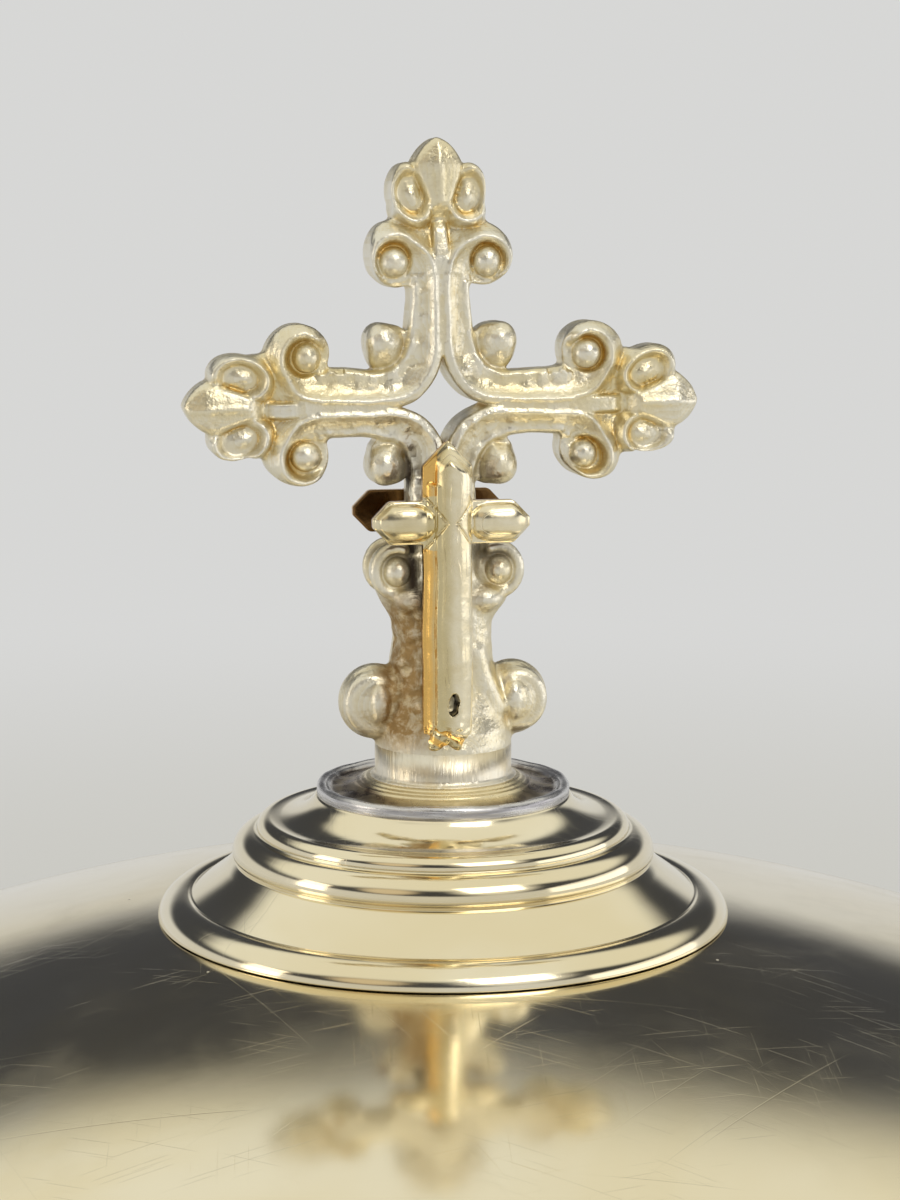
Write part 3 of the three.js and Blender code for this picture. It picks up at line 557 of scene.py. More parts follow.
def applied_cross(name, node, crossing_z, at_front):
    """A bevelled plate with a half-round body along both bars. It is modelled facing -Y, then turned round
    for the back. Its crown attribute is how high each point stands, lowered down the upright's left flank for
    a painted orange reflection; a second attribute paints its right side paler and its left darker as light
    and shade, and a third paints shade in the slot."""
    low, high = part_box(node)
    foot, top = low.z / MM - crossing_z + 0.9, high.z / MM - crossing_z
    bar_z, upright_left, bar_left = FRONT_PLACE if at_front else BACK_PLACE
    block = Block((-BAR_HALF - 1, APPLIED_BACK - 3, foot - 0.8),
                  (BAR_HALF + 1, APPLIED_BACK + 0.8, top + 0.8), APPLIED_STEP)
    xs, ys, zs = block.axes
    plan_x, z = np.meshgrid(xs, zs, indexing="ij")
    shape = plan_x.shape
    x = plan_x + upright_left + 0.07 * grain(shape, 14, 21)
    along = np.abs(plan_x + bar_left + 0.03 * grain(shape, 14, 25))
    u, across = np.abs(x), np.abs(z - bar_z)

    # The front view's outline.
    roof = (u + (z - top) * HALF_WIDTH / GABLE) / math.hypot(1, HALF_WIDTH / GABLE)
    upright = smooth_max(smooth_max(u - HALF_WIDTH, foot - z, 0.1), roof, 0.1)
    tip = (along - BAR_HALF + 0.95 * np.maximum(across - 0.35, 0)) / 1.38
    bar = smooth_max(across - BAR_HALF_HEIGHT, tip, 0.2)
    outline = smooth_min(upright, bar, 0.15)

    # The thickness: the plate, its raised middle with a groove down the left, and the body along both bars.
    plate = 0.55 + 0.38 * smooth_step(0.0, 0.45, -outline)
    flank = np.clip((x + 1.85) / 0.72, 0, 1) * np.clip((HALF_WIDTH - x) / 0.5, 0, 1)
    plate += 0.58 * flank * smooth_step(-0.2, -0.6, z - top + 1.5 * GABLE) - 0.22 * bump(x + 1.08, 0.1)
    body_x = np.abs(x - 0.5) / 1.55
    up_body = np.maximum(1 - body_x ** 2, 0) ** 0.72 * smooth_step(top - 0.3, top - 2.1, z + 0.6 * u)
    oval = (np.abs(along - 4.0) / 2.55) ** 2.5 + (across / 1.70) ** 2.2
    bar_body = 0.88 * np.maximum(1 - oval, 0) ** 0.66
    body = smooth_max(0.93 + 1.16 * up_body, plate, 0.1)
    thickness = smooth_max(body, plate + 1.16 * bar_body, 0.12) + 0.035 * grain(shape, 7, 24)

    # Mitre lines at the crossing, the slot, and the rough foot.
    mitre = np.abs(np.abs(x - 0.2) - 0.35 - across * 0.8)
    near_crossing = smooth_step(2.5, 2.1, np.maximum(u, across))
    thickness -= 0.13 * bump(mitre, 0.09) * near_crossing
    slot = (np.hypot((x - 0.3) / 0.33, (z - foot - SLOT_UP) / 0.92) - 1) * 0.36 + 0.12 * grain(shape, 2, 22)
    thickness -= 1.7 * smooth_step(0.08, -0.16, slot)
    thickness += 0.17 * grain(shape, 3, 23) * smooth_step(foot + 2.8, foot + 1.2, z)
    thickness -= 0.5 * smooth_step(foot + 1.3, foot, z)

    wall = APPLIED_BACK - ys[None, :, None]
    field = smooth_max(outline[:, None, :], wall - thickness[:, None, :], 0.12)
    block.field = smooth_max(field, -wall, 0.05).astype(np.float32)
    piece, points = block.mesh(name, (0, 0, crossing_z))

    px, py, pz = points.T
    on_upright, forward = px + upright_left, APPLIED_BACK - py
    level = forward / APPLIED_THICKNESS
    # Down the upright's left flank the crown is lowered, so that the material paints an orange reflection
    # there.
    beside = smooth_step(-0.75, -1.05, on_upright) * smooth_step(2.0, 2.3, np.abs(pz - bar_z))
    block.add(piece, "crown", level + 0.42 * (1 - beside) * smooth_step(0.2, 0.4, level))
    # Painted light: paler on the upright's right side and along the bars, darker on its left.
    block.add(piece, "painted_light_side", np.maximum(smooth_step(-0.9, 1.2, on_upright),
                                          0.45 * smooth_step(1.8, 2.6, np.abs(px))))
    # Painted shade in the slot.
    in_slot = np.hypot((on_upright - 0.3) / 0.55, (pz - foot - SLOT_UP) / 1.1)
    block.add(piece, "shade_and_grime", smooth_step(1.0, 0.75, in_slot) * smooth_step(1.75, 1.35, forward))
    if not at_front:
        turned_round = np.array([v.co for v in piece.data.vertices]) * (-1, -1, 1)
        piece.data.vertices.foreach_set("co", turned_round.ravel())
        piece.data.update()
    return piece


def solder_lump(name, centre, radii, seed, count):
    """A frozen run of solder: a cluster of small uneven blobs."""
    centre, radii = np.array(centre, float), np.array(radii, float)
    block = Block(centre - radii - MARGIN, centre + radii + MARGIN, 0.1)
    random = np.random.default_rng(seed)
    block.ellipsoid(centre, radii * (0.92, 0.85, 0.85), 0.3)
    for _ in range(count):
        place = centre + random.uniform(-0.6, 0.6, 3) * radii
        block.ellipsoid(place, radii.min() * random.uniform(0.3, 0.7, 3), 0.25)
    piece, points = block.mesh(name)
    block.add(piece, "crown", 0.66 + 0.2 * np.sin(3 * points[:, 0] + 5 * points[:, 2]))
    return piece


# ---- materials ----

class Nodes:
    """The nodes of a material or of the world, with short calls for the kinds that the looks share."""

    def __init__(self, owner, coordinates="Object"):
        owner.use_nodes = True
        self.owner, self.tree = owner, owner.node_tree
        if isinstance(owner, bpy.types.Material):
            self.tree.nodes.clear()
        self.place = self.node("TexCoord").outputs[coordinates]

    def node(self, kind, inputs=(), **settings):
        """A new node with its settings, and its sockets fed by name or number."""
        node = self.tree.nodes.new("ShaderNode" + kind)
        for name, value in settings.items():
            setattr(node, name, value)
        for socket, value in dict(inputs).items():
            self.feed(node.inputs[socket], value)
        return node

    def feed(self, socket, value):
        """Sets a socket to a number or colour, or links it to another node's output."""
        if isinstance(value, bpy.types.NodeSocket):
            self.tree.links.new(value, socket)
        elif socket.type == "RGBA":
            socket.default_value = (*value, 1)
        else:
            socket.default_value = value

    def math(self, operation, *values, clamp=False):
        return self.node("Math", enumerate(values), operation=operation, use_clamp=clamp).outputs[0]

    def add(self, first, *others):
        for other in others:
            first = self.math("ADD", first, other)
        return first

    def times(self, a, b):
        return self.math("MULTIPLY", a, b)

    def line(self, value, slope, start):
        """The value times the slope, plus the start."""
        return self.math("MULTIPLY_ADD", value, slope, start)

    def ramp(self, value, low, high, start=0.0, end=1.0):
        """The value's range low to high, smoothly mapped to start to end."""
        return self.node("MapRange", enumerate((value, low, high, start, end)),
                         interpolation_type="SMOOTHSTEP").outputs[0]

    def mix(self, share, a, b):
        return self.node("Mix", {"Factor": share, 6: a, 7: b}, data_type="RGBA").outputs[2]

    def length(self, vector):
        return self.node("VectorMath", {0: vector}, operation="LENGTH").outputs["Value"]

    def axes(self, vector):
        return self.node("SeparateXYZ", {0: vector}).outputs

    def moved(self, scale=(1, 1, 1), turn=(0, 0, 0), source=None):
        """The piece's coordinates, or others, turned by some degrees about each axis and scaled."""
        turn = [math.radians(t) for t in turn]
        return self.node("Mapping", {"Vector": source or self.place, "Scale": scale,
                                     "Rotation": turn}).outputs[0]

    def noise(self, scale, detail=3.0, rough=0.5, warp=0.0, source=None):
        """Noise whose lumps are about 1/scale metres across."""
        return self.node("TexNoise", {"Vector": source or self.place, "Scale": scale, "Detail": detail,
                                      "Roughness": rough, "Distortion": warp}).outputs["Fac"]

    def attribute(self, name):
        return self.node("Attribute", attribute_name=name).outputs["Fac"]

    def scratches(self, turn, length, width, share):
        """Fine straight marks in one direction: about 1 where there is one."""
        stretched = self.moved(scale=(1 / length, 1 / width, 1 / length), source=self.moved(turn=turn))
        fine = self.noise(1.0, 1.0, 0.4, 0.15, stretched)
        return self.ramp(fine, 1 - share, 1 - share + 0.06)

    def specks(self, scale, size, rarity):
        """Scattered flecks: about 1 on one."""
        cells = self.node("TexVoronoi", {"Vector": self.place, "Scale": scale})
        lot = self.node("SeparateColor", {0: cells.outputs["Color"]}).outputs[0]
        return self.times(self.ramp(cells.outputs["Distance"], size, 0.4 * size),
                          self.math("GREATER_THAN", lot, rarity))

    def finish(self, colour, roughness, metallic, height, rise):
        """The material's surface, which stands rise metres proud where the height is 1."""
        normal = self.node("Bump", {"Distance": rise, "Strength": 1.0, "Height": height}).outputs[0]
        surface = self.node("BsdfPrincipled", {"Base Color": colour, "Roughness": roughness,
                                               "Metallic": metallic, "Normal": normal})
        self.node("OutputMaterial", {"Surface": surface.outputs[0]})
        return self.owner


def new_material(name):
    return Nodes(bpy.data.materials.new(name))


def polished_gilt(name, pale, warm, wear=1.0, dust=0.0):
    """Bright spun metal: a soft drift of colour, a hazed polish, a few wiping scratches and specks."""
    s = new_material(name)
    drift = s.ramp(s.noise(28, 4, 0.55, 0.6), 0.35, 0.68)
    colour = s.mix(drift, pale, warm)
    marks = [s.scratches((0, 0, turn), 0.040, 0.00020, 0.27) for turn in (12, 71, 141)]
    marks += [s.scratches((0, 0, turn), 0.010, 0.00010, 0.28) for turn in (35, 97, 170)]
    patches = s.ramp(s.noise(45, 2, 0.5), 0.42, 0.62)
    lines = s.times(s.add(*marks), patches)
    haze = s.ramp(s.noise(90, 5, 0.62, 0.3), 0.40, 0.72)
    roughness = s.add(s.line(haze, 0.08 * wear, 0.11), s.times(lines, 0.09 * wear))
    height = s.add(s.times(lines, -0.28 * wear), s.times(s.noise(260, 3), 0.35))
    metallic = 1.0
    if dust:
        flecks = s.math("MAXIMUM", s.specks(150, 0.045, 0.90), s.specks(420, 0.070, 0.94))
        flecks = s.math("MULTIPLY", flecks, dust, clamp=True)
        colour = s.mix(flecks, colour, (0.60, 0.58, 0.52))
        roughness = s.add(roughness, s.times(flecks, 0.6))
        metallic = s.math("SUBTRACT", 1.0, flecks)
        height = s.add(height, s.times(flecks, 3.0))
    return s.finish(colour, roughness, metallic, height, 0.000012)


def cast_gilt(name):
    """Worn cast gilding: silver-pale high points, orange-gold hollows, and dark brown painted shade in the
    deepest hollows and beside the small crosses, dulled like grime.
    """
    s = new_material(name)
    mottled = s.noise(420, 5, 0.6, 0.5)
    patchy = s.noise(1100, 4, 0.65, 0.4)
    depth = s.add(s.attribute("hollow"), s.line(mottled, 0.22, -0.11))
    colour = s.mix(s.ramp(depth, -0.24, 0.08), (0.86, 0.82, 0.70), (0.78, 0.70, 0.50))
    colour = s.mix(s.ramp(depth, 0.05, 0.28), colour, (0.62, 0.43, 0.15))
    tint = s.ramp(s.noise(150, 3, 0.5, 0.4), 0.45, 0.68, 0.0, 0.5)
    colour = s.mix(tint, colour, (0.80, 0.68, 0.38))
    stained = s.times(s.attribute("stain"), s.ramp(patchy, 0.32, 0.60, 0.45, 1.0))
    colour = s.mix(stained, colour, (0.40, 0.27, 0.12))
    around = s.add(s.times(mottled, 0.4), s.times(patchy, 0.35))
    # Painted shade: dark brown beside the small crosses and in the deepest hollows, made rough and less
    # metallic like grime.
    shade_and_dirt = s.times(s.attribute("shade_and_grime"), s.ramp(s.add(depth, around), 0.16, 0.46))
    shade_and_dirt = s.math("MAXIMUM", shade_and_dirt, s.ramp(depth, 0.28, 0.55, 0.0, 0.75))
    colour = s.mix(shade_and_dirt, colour, (0.045, 0.028, 0.015))
    roughness = s.line(s.ramp(mottled, 0.35, 0.7), 0.13, 0.30)
    roughness = s.add(roughness, s.times(s.math("MAXIMUM", shade_and_dirt, stained), 0.28))
    metallic = s.math("SUBTRACT", 1.0, s.times(shade_and_dirt, 0.85))
    height = s.add(s.noise(900, 4, 0.6), s.times(s.noise(2600, 2), 0.5))
    return s.finish(colour, roughness, metallic, height, 0.00010)


def brushed_gilt(name):
    """The ferrule: gilding with fine upright brush marks."""
    s = new_material(name)
    brushed = s.noise(1.0, 4, 0.6, 0.0, s.moved(scale=(2600, 2600, 160)))
    mottled = s.noise(260, 4, 0.6, 0.5)
    colour = s.mix(s.ramp(mottled, 0.36, 0.68), (0.82, 0.77, 0.65), (0.78, 0.68, 0.48))
    roughness = s.line(s.ramp(brushed, 0.3, 0.7), 0.12, 0.27)
    return s.finish(colour, roughness, 1.0, brushed, 0.00008)


def applied_gold(name):
    """A scratched crown, paler on the right as painted light and darker on the left as painted shade, with a
    painted orange reflection down the low sides and the left flank.
    """
    s = new_material(name)
    marks = [s.scratches((0, turn, 0), 0.006, 0.00010, 0.30) for turn in (8, 70, 128)]
    mottled = s.noise(500, 4, 0.6, 0.4)
    colour = s.mix(s.ramp(mottled, 0.35, 0.7), (0.90, 0.82, 0.61), (0.82, 0.72, 0.49))
    # Painted light and shade: paler on the upright's right side and along the bars, darker olive gold on its
    # left.
    painted_light_side = s.add(s.attribute("painted_light_side"), s.line(s.noise(260, 3, 0.6, 0.8), 0.7, -0.35))
    colour = s.mix(s.ramp(painted_light_side, 0.05, 0.75), (0.66, 0.56, 0.32), colour)
    height_up = s.add(s.attribute("crown"), s.line(mottled, 0.16, -0.08))
    # Painted orange reflection on the low sides and the left flank, and painted shade in dark brown at the
    # lowest parts.
    colour = s.mix(s.ramp(height_up, 0.80, 0.56), colour, (0.80, 0.50, 0.15))
    colour = s.mix(s.ramp(height_up, 0.28, 0.05), colour, (0.20, 0.11, 0.04))
    # Painted shade in the slot.
    colour = s.mix(s.attribute("shade_and_grime"), colour, (0.03, 0.02, 0.015))
    lines = s.add(*marks)
    roughness = s.add(s.line(mottled, 0.14, 0.14), s.times(lines, 0.08))
    height = s.add(s.times(lines, -0.6), s.times(s.noise(1400, 3), 0.5))
    return s.finish(colour, roughness, 1.0, height, 0.00004)


def solder_grey(name):
    """Dull soft solder with yellow patches."""
    s = new_material(name)
    mottled = s.noise(700, 5, 0.65, 0.6)
    colour = s.mix(s.ramp(mottled, 0.35, 0.68), (0.52, 0.46, 0.34), (0.80, 0.74, 0.58))
    roughness = s.line(mottled, 0.3, 0.25)
    return s.finish(colour, roughness, 0.9, s.noise(1500, 4, 0.6), 0.00015)


def tarnished_plate(name, rim_radius):
    """A plate gone brown-black on top and dull grey round its rim, with a painted gold reflection of the
    ferrule on its inner slope in front and behind.
    """
    s = new_material(name)
    radius = s.length(s.moved(scale=(1, 1, 0)))
    mottled = s.noise(420, 5, 0.6, 0.8)
    top = s.mix(s.ramp(mottled, 0.34, 0.66), (0.10, 0.065, 0.045), (0.46, 0.37, 0.24))
    near = s.add(radius, s.line(mottled, 0.0016, -0.0008))
    # Painted reflection of the ferrule: gold inside about 7.6 mm, pushed out of the sides so that it stays in
    # front and behind.
    aside = s.ramp(s.math("ABSOLUTE", s.axes(s.place)[0]), 0.0045, 0.0080, 0.0, 0.0022)
    colour = s.mix(s.ramp(s.add(near, aside), 0.0090, 0.0076), top, (0.82, 0.71, 0.46))
    rim = s.ramp(near, rim_radius - 0.0016, rim_radius - 0.0009)
    streaks = s.noise(1.0, 5, 0.6, 0.2, s.moved(scale=(150, 150, 2600)))
    grey = s.mix(s.ramp(streaks, 0.34, 0.62), (0.38, 0.37, 0.39), (0.70, 0.69, 0.69))
    colour = s.mix(rim, colour, grey)
    roughness = s.line(mottled, 0.24, 0.16)
    height = s.add(s.times(s.noise(700, 4, 0.6), 0.6), streaks)
    return s.finish(colour, roughness, 0.95, height, 0.00006)


def plain_brass(name):
    """Turned brass, with fine rings round its axis."""
    s = new_material(name)
    rings = s.noise(1.0, 2, 0.5, 0, s.moved(scale=(300, 300, 5200)))
    mottled = s.noise(160, 4, 0.6, 0.5)
    colour = s.mix(s.ramp(mottled, 0.35, 0.7), (0.70, 0.57, 0.30), (0.47, 0.35, 0.17))
    roughness = s.line(rings, 0.2, 0.24)
    return s.finish(colour, roughness, 1.0, rings, 0.00005)


LID_PALE, LID_WARM = (0.88, 0.81, 0.63), (0.83, 0.73, 0.50)
lid_gilt = polished_gilt("lid_gilt", LID_PALE, LID_WARM, wear=0.8, dust=0.8)
boss_gilt = polished_gilt("boss_gilt", (0.91, 0.84, 0.66), LID_WARM, wear=0.5, dust=0.4)
vessel_gilt = polished_gilt("vessel_gilt", LID_PALE, LID_WARM, wear=0.6, dust=0.0)
cross_gilt = cast_gilt("cross_gilt")
ferrule_gilt = brushed_gilt("ferrule_gilt")
gold = applied_gold("applied_gold")
solder = solder_grey("solder_grey")
brass = plain_brass("plain_brass")


# ---- the lid ----

DOME_SPHERE = 170.0           # radius of the sphere that the dome is part of
LID_WALL = 1.2
PLAY = 0.15                   # round the stud and the rod in their holes
SEAM = 0.05                   # the gap that a soldered seam leaves

boss_r, boss_z, boss_top = extent("boss")
dome_r, dome_edge, _ = extent("lid_dome")
disc_r, disc_z, _ = extent("finial_disc")
ferrule_r, ferrule_z, ferrule_top = extent("cross_ferrule")
stud_r, _, _ = extent("finial_stud")
stud_hole = stud_r + PLAY
dome_centre = boss_z - math.sqrt(DOME_SPHERE ** 2 - boss_r ** 2)


def sphere_points(radius, start, end, count):
    """Points on a sphere about the dome's centre, from one radius off the axis to another."""
    return [(r, dome_centre + math.sqrt(radius ** 2 - r ** 2)) for r in np.linspace(start, end, count)]


def lid_dents(r, angle):
    """The slight unevenness of hand-spun sheet, fading towards the boss and the rim."""
    fade = np.clip((r - 25) / 10, 0, 1) * np.clip((dome_r - 2 - r) / 12, 0, 1)
    return fade * (0.020 * np.sin(2 * angle + 0.6 + r / 19) + 0.012 * np.sin(5 * angle + r / 11 + 1.3))


lid_profile = [(dome_r, dome_edge), (dome_r, dome_edge + 0.7)]
lid_profile += sphere_points(DOME_SPHERE, dome_r - 0.25, boss_r - 2, 70)
lid_profile += sphere_points(DOME_SPHERE, boss_r - 4, stud_hole, 4)
lid_profile += sphere_points(DOME_SPHERE - LID_WALL, stud_hole, dome_r - 1.5 * LID_WALL, 40)
lid_profile += [(dome_r - 1.5 * LID_WALL, dome_edge)]
spun("lid_dome_skin", lid_profile, lid_gilt, "lid_dome", wobble=lid_dents)


def raised(outline, level):
    """An outline whose heights are measured up from a level."""
    return [(r, level + h) for r, h in outline]


def bead_ring(name, node, inner):
    """A half-round bead round the outside of a ring, with a fine line turned above and below it."""
    outer, low, high = extent(node)
    middle, half = (low + high) / 2, (high - low) / 2
    line = 0.32
    shoulder = outer - 1.15 * half
    profile = [(inner, low), (shoulder - 0.2, low), (shoulder, low + 0.05), (shoulder, low + line)]
    profile += arc(shoulder, middle, outer - shoulder, half - line, -90, 90, 6)
    profile += [(shoulder, high - line), (shoulder, high - 0.05), (shoulder - 0.2, high), (inner, high)]
    return spun(name, profile, vessel_gilt, node, 0.12)


bezel_r, bezel_low, bezel_high = extent("lid_bezel")
bead_ring("lid_rim_bead", "lid_rim", bezel_r + SEAM)
bezel_profile = [(bezel_r - 1.2, bezel_low), (bezel_r - 0.5, bezel_low), (bezel_r, bezel_low + 1),
                 (bezel_r, bezel_high), (bezel_r - 1.2, bezel_high)]
spun("lid_bezel_ring", bezel_profile, vessel_gilt, "lid_bezel", 0.3)

# Heights in the boss are measured up from its base.
boss_outline = arc(boss_r - 2.3, 0.1, 2.3, 1.85, 0, 96)
boss_outline += [(boss_r - 2.85, 1.83), (20.4, 2.62), (19.3, 3.38), (18.5, 4.08), (18.0, 4.5)]
boss_outline += arc(16.15, 5.45, 1.8, 1.72, -28, 88)
boss_outline += arc(14.85, 7.4, 1.0, 0.95, -12, 100)
boss_outline += arc(14.55, 11.1, 3.9, 2.85, 262, 200)
boss_outline += [(disc_r - 0.15, boss_top - boss_z), (stud_hole, boss_top - boss_z)]
boss_inside = [(stud_hole, 8.6), (9.4, 8.6), (13.0, 6.2), (18.4, 1.9), (21.4, 0.9), (boss_r - 1.4, 0.18)]
spun("boss_skin", raised(boss_outline + boss_inside, boss_z), boss_gilt, "boss")

disc_outline = [(stud_hole, 0), (disc_r - 0.35, 0)]
disc_outline += arc(disc_r - 0.35, 0.35, 0.35, 0.35, -90, 0, 15)
disc_outline += arc(disc_r - 0.45, 0.79, 0.45, 0.45, 0, 150, 12)
disc_outline += [(9.85, 1.10), (9.6, 0.98), (9.45, 0.80), (8.6, 0.84), (7.7, 1.10), (7.5, 1.20), (7.4, 1.36)]
disc_outline += [(7.1, 1.40), (6.95, 1.56), (6.7, 1.60), (6.55, 1.8), (stud_hole, 1.8)]


def disc_dents(r, angle):
    """A knocked and unevenly filed rim."""
    fade = np.clip((r - 7.5) / 2, 0, 1)
    return fade * (0.06 * np.sin(3 * angle + 0.4) + 0.04 * np.sin(7 * angle + 1.1)
                   + 0.02 * np.sin(19 * angle))


plate_finish = tarnished_plate("tarnished_plate", disc_r * MM)
spun("finial_plate", raised(disc_outline, disc_z), plate_finish, "finial_disc", 0.15, wobble=disc_dents)

skirt_r, skirt_top = ferrule_r - 0.05, 2.75
ferrule_outline = [(stud_hole, 0), (ferrule_r + 0.4, 0), (ferrule_r + 0.38, 0.08), (ferrule_r + 0.2, 0.16)]
ferrule_outline += [(ferrule_r + 0.05, 0.3), (skirt_r + 0.03, 0.55), (skirt_r + 0.02, skirt_top)]
ferrule_outline += [(stud_hole, skirt_top)]
dress(turned("ferrule_skin", raised(ferrule_outline, ferrule_z)), ferrule_gilt, "cross_ferrule")

crossing = ferrule_top + POST_HEIGHT
dress(cast_cross("cast_cross", (0, 0, crossing)), cross_gilt, "cross_casting")

for side_name in ("front", "back"):
    node = side_name + "_applied_cross"
    dress(applied_cross(side_name + "_small_cross", node, crossing, side_name == "front"), gold, node)


# ---- solder ----

def add_trim(piece, material, body):
    """Solder, which has no CAD node of its own."""
    piece.data.materials.append(material)
    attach(piece, body)


for side_name, facing, seed in (("front", -1, 31), ("back", 1, 32)):
    centre = (0.55 * facing, facing * 4.9, crossing - POST_HEIGHT + 1.45)
    lump = solder_lump(side_name + "_solder", centre, (1.9, 0.8, 0.8), seed, 40)
    add_trim(lump, gold, "lid")


def solder_seam(name, radius, level, seed):
    """An uneven bead of solder under the plate's rim, thick at the front left and thin elsewhere."""
    segments, sides = 720, 10
    angle = np.linspace(0, 2 * np.pi, segments, endpoint=False)
    random = np.random.default_rng(seed)
    lumps = sum(random.uniform(0.5, 1) / k ** 0.6 * np.sin(k * angle + random.uniform(0, 6.28))
                for k in (3, 7, 13, 23, 41, 67))
    front_left = np.exp(-((angle - math.radians(235)) / 0.75) ** 2)
    size = 0.13 + 0.30 * front_left + 0.05 * lumps * (0.4 + front_left)
    size = np.clip(size, 0.07, 0.55)[:, None]
    angle = angle[:, None]
    turn = np.linspace(0, 2 * np.pi, sides, endpoint=False)[None, :]
    ring_r = radius + 0.75 * size * np.cos(turn)
    ring_z = level - 0.35 * size + size * np.sin(turn)
    points = np.stack([ring_r * np.cos(angle), ring_r * np.sin(angle), ring_z], -1)
    i, j = np.arange(segments)[:, None], np.arange(sides)[None, :]
    next_i, next_j = (i + 1) % segments, (j + 1) % sides
    faces = np.stack([i * sides + j, next_i * sides + j, next_i * sides + next_j, i * sides + next_j], -1)
    return mesh_object(name, points.reshape(-1, 3), faces.reshape(-1, 4))


add_trim(solder_seam("plate_solder", disc_r - 0.25, disc_z, 12), solder, "lid")


# ---- the vessel ----

cup_r, cup_z, mouth_z = extent("cup_bowl")
cup_boss_r, cup_boss_z, _ = extent("cup_boss")
CUP_WALL, CUP_FLARE = 1.4, 1.0
CUP_BELLY = 40.0              # height of the rounded bottom
belly_r = cup_r - CUP_FLARE - cup_boss_r
belly_z = cup_z + CUP_BELLY
flare = [(cup_r - CUP_FLARE + CUP_FLARE * t ** 1.6, belly_z + (mouth_z - 3.6 - belly_z) * t)
         for t in np.linspace(0, 1, 14)]
cup_profile = [(0, cup_z), *arc(cup_boss_r, belly_z, belly_r, CUP_BELLY, -90, 0, 1.5), *flare[1:]]
cup_profile += [(cup_r, mouth_z), (cup_r - CUP_WALL, mouth_z)]
cup_profile += [(r - CUP_WALL, z) for r, z in reversed(flare)]
cup_profile += arc(cup_boss_r, belly_z, belly_r - CUP_WALL, CUP_BELLY - CUP_WALL, 0, -90, 1.5)[1:]
cup_profile += [(0, cup_z + CUP_WALL)]
spun("cup_skin", cup_profile, vessel_gilt, "cup_bowl")
bead_ring("cup_lip_bead", "cup_lip", cup_r + SEAM)

foot_r, _, band_top = extent("foot_band")
foot_outer, _, foot_top = extent("foot_dome")
rod_r, _, _ = extent("tie_rod")
rod_hole = rod_r + PLAY
FOOT_WALL, NECK_R = 1.4, 11.0

band_inner = foot_r - 7
band_profile = [(band_inner, 0), (foot_r - 0.6, 0), (foot_r, 0.6), (foot_r, 1.3), (foot_r - 0.35, 1.55)]
band_profile += arc(foot_r - 1.3, 2.75, 1.2, 1.1, -60, 90, 6)
band_profile += [(foot_r - 1.6, band_top), (band_inner, band_top)]
spun("foot_band_ring", band_profile, vessel_gilt, "foot_band")


def foot_line(inset):
    """Line of the spun foot, inset from its outside: an upright step, a shoulder, and a hollow sweep up."""
    skirt = foot_outer - inset
    shoulder_z, shoulder_r = band_top + 3 - inset, 0.78 * foot_r
    line = [(skirt, band_top), (skirt, shoulder_z - 0.9)]
    line += arc(shoulder_r, shoulder_z, skirt - 2 - shoulder_r, 5, 0, 90, 4)
    line += arc(shoulder_r, foot_top - 2 - inset, shoulder_r - NECK_R + inset,
                foot_top - shoulder_z - 7 - inset, 270, 180, 2.5)[1:]
    return line


foot_profile = foot_line(0) + [(NECK_R, foot_top), (rod_hole, foot_top)]
foot_profile += [(rod_hole, foot_top - FOOT_WALL), (NECK_R - FOOT_WALL, foot_top - FOOT_WALL)]
foot_profile += foot_line(FOOT_WALL)[::-1]
spun("foot_skin", foot_profile, vessel_gilt, "foot_dome")


def stem_piece(name, node, outline, low, height, upside_down, segments):
    """A turned piece of the stem, from an outline measured up from its low end, or down from its high one."""
    if upside_down:
        outline = [(r, height - h) for r, h in reversed(outline)]
    return spun(name, raised(outline, low), vessel_gilt, node, 0.15, segments=segments)


def collar_ring(name, node, upside_down):
    """A collar with a large bead at its wide end and a small one beyond it."""
    outer, low, high = extent(node)
    height = high - low
    bead = height / 4
    narrow_r = stem_end + 0.5
    outline = [(rod_hole, 0)] + arc(outer - bead, bead, bead, bead, -90, 80, 8)
    outline += [(narrow_r + 0.5, 2 * bead)]
    outline += arc(narrow_r, 3 * bead, bead, bead, -80, 90, 8) + [(rod_hole, height)]
    return stem_piece(name, node, outline, low, height, upside_down, SMALL_SEGMENTS)


def stem_tube(name, node):
    """A stem with a waist."""
    outer, low, high = extent(node)
    waist = 0.825 * outer
    side = [(outer - (outer - waist) * math.sin(math.pi * t), low + (high - low) * t)
            for t in np.linspace(0, 1, 30)]
    profile = [(rod_hole, low), *side, (rod_hole, high)]
    return spun(name, profile, vessel_gilt, node, 0.15, segments=SMALL_SEGMENTS)


def knop_half(name, node, upside_down):
    """A hollow half of the knop."""
    outer, low, high = extent(node)
    height, end_r, wall = high - low, stem_end + 0.5, 1.2
    outline = [(rod_hole, 0), *arc(end_r, height, outer - end_r, height, -90, 0, 3)]
    outline += arc(end_r, height, outer - end_r - wall, height - wall, 0, -90, 4) + [(rod_hole, wall)]
    return stem_piece(name, node, outline, low, height, upside_down, KNOP_SEGMENTS)


stem_end, _, _ = extent("lower_stem")
knop_r, _, _ = extent("knop_lower")
collar_ring("lower_collar_ring", "lower_collar", False)
collar_ring("upper_collar_ring", "upper_collar", True)
stem_tube("lower_stem_tube", "lower_stem")
stem_tube("upper_stem_tube", "upper_stem")
knop_half("knop_lower_skin", "knop_lower", False)
knop_half("knop_upper_skin", "knop_upper", True)
bead_ring("knop_band_ring", "knop_band", knop_r - 2.4)
cup_boss_profile = [(rod_hole, cup_boss_z), (cup_boss_r - 2, cup_boss_z)]
cup_boss_profile += arc(cup_boss_r - 2, cup_boss_z + 2, 2, 2, -90, 0, 10)
cup_boss_profile += [(cup_boss_r, cup_z - 0.8), (cup_boss_r - 0.8, cup_z), (rod_hole, cup_z)]
spun("cup_boss_skin", cup_boss_profile, vessel_gilt, "cup_boss", segments=SMALL_SEGMENTS)


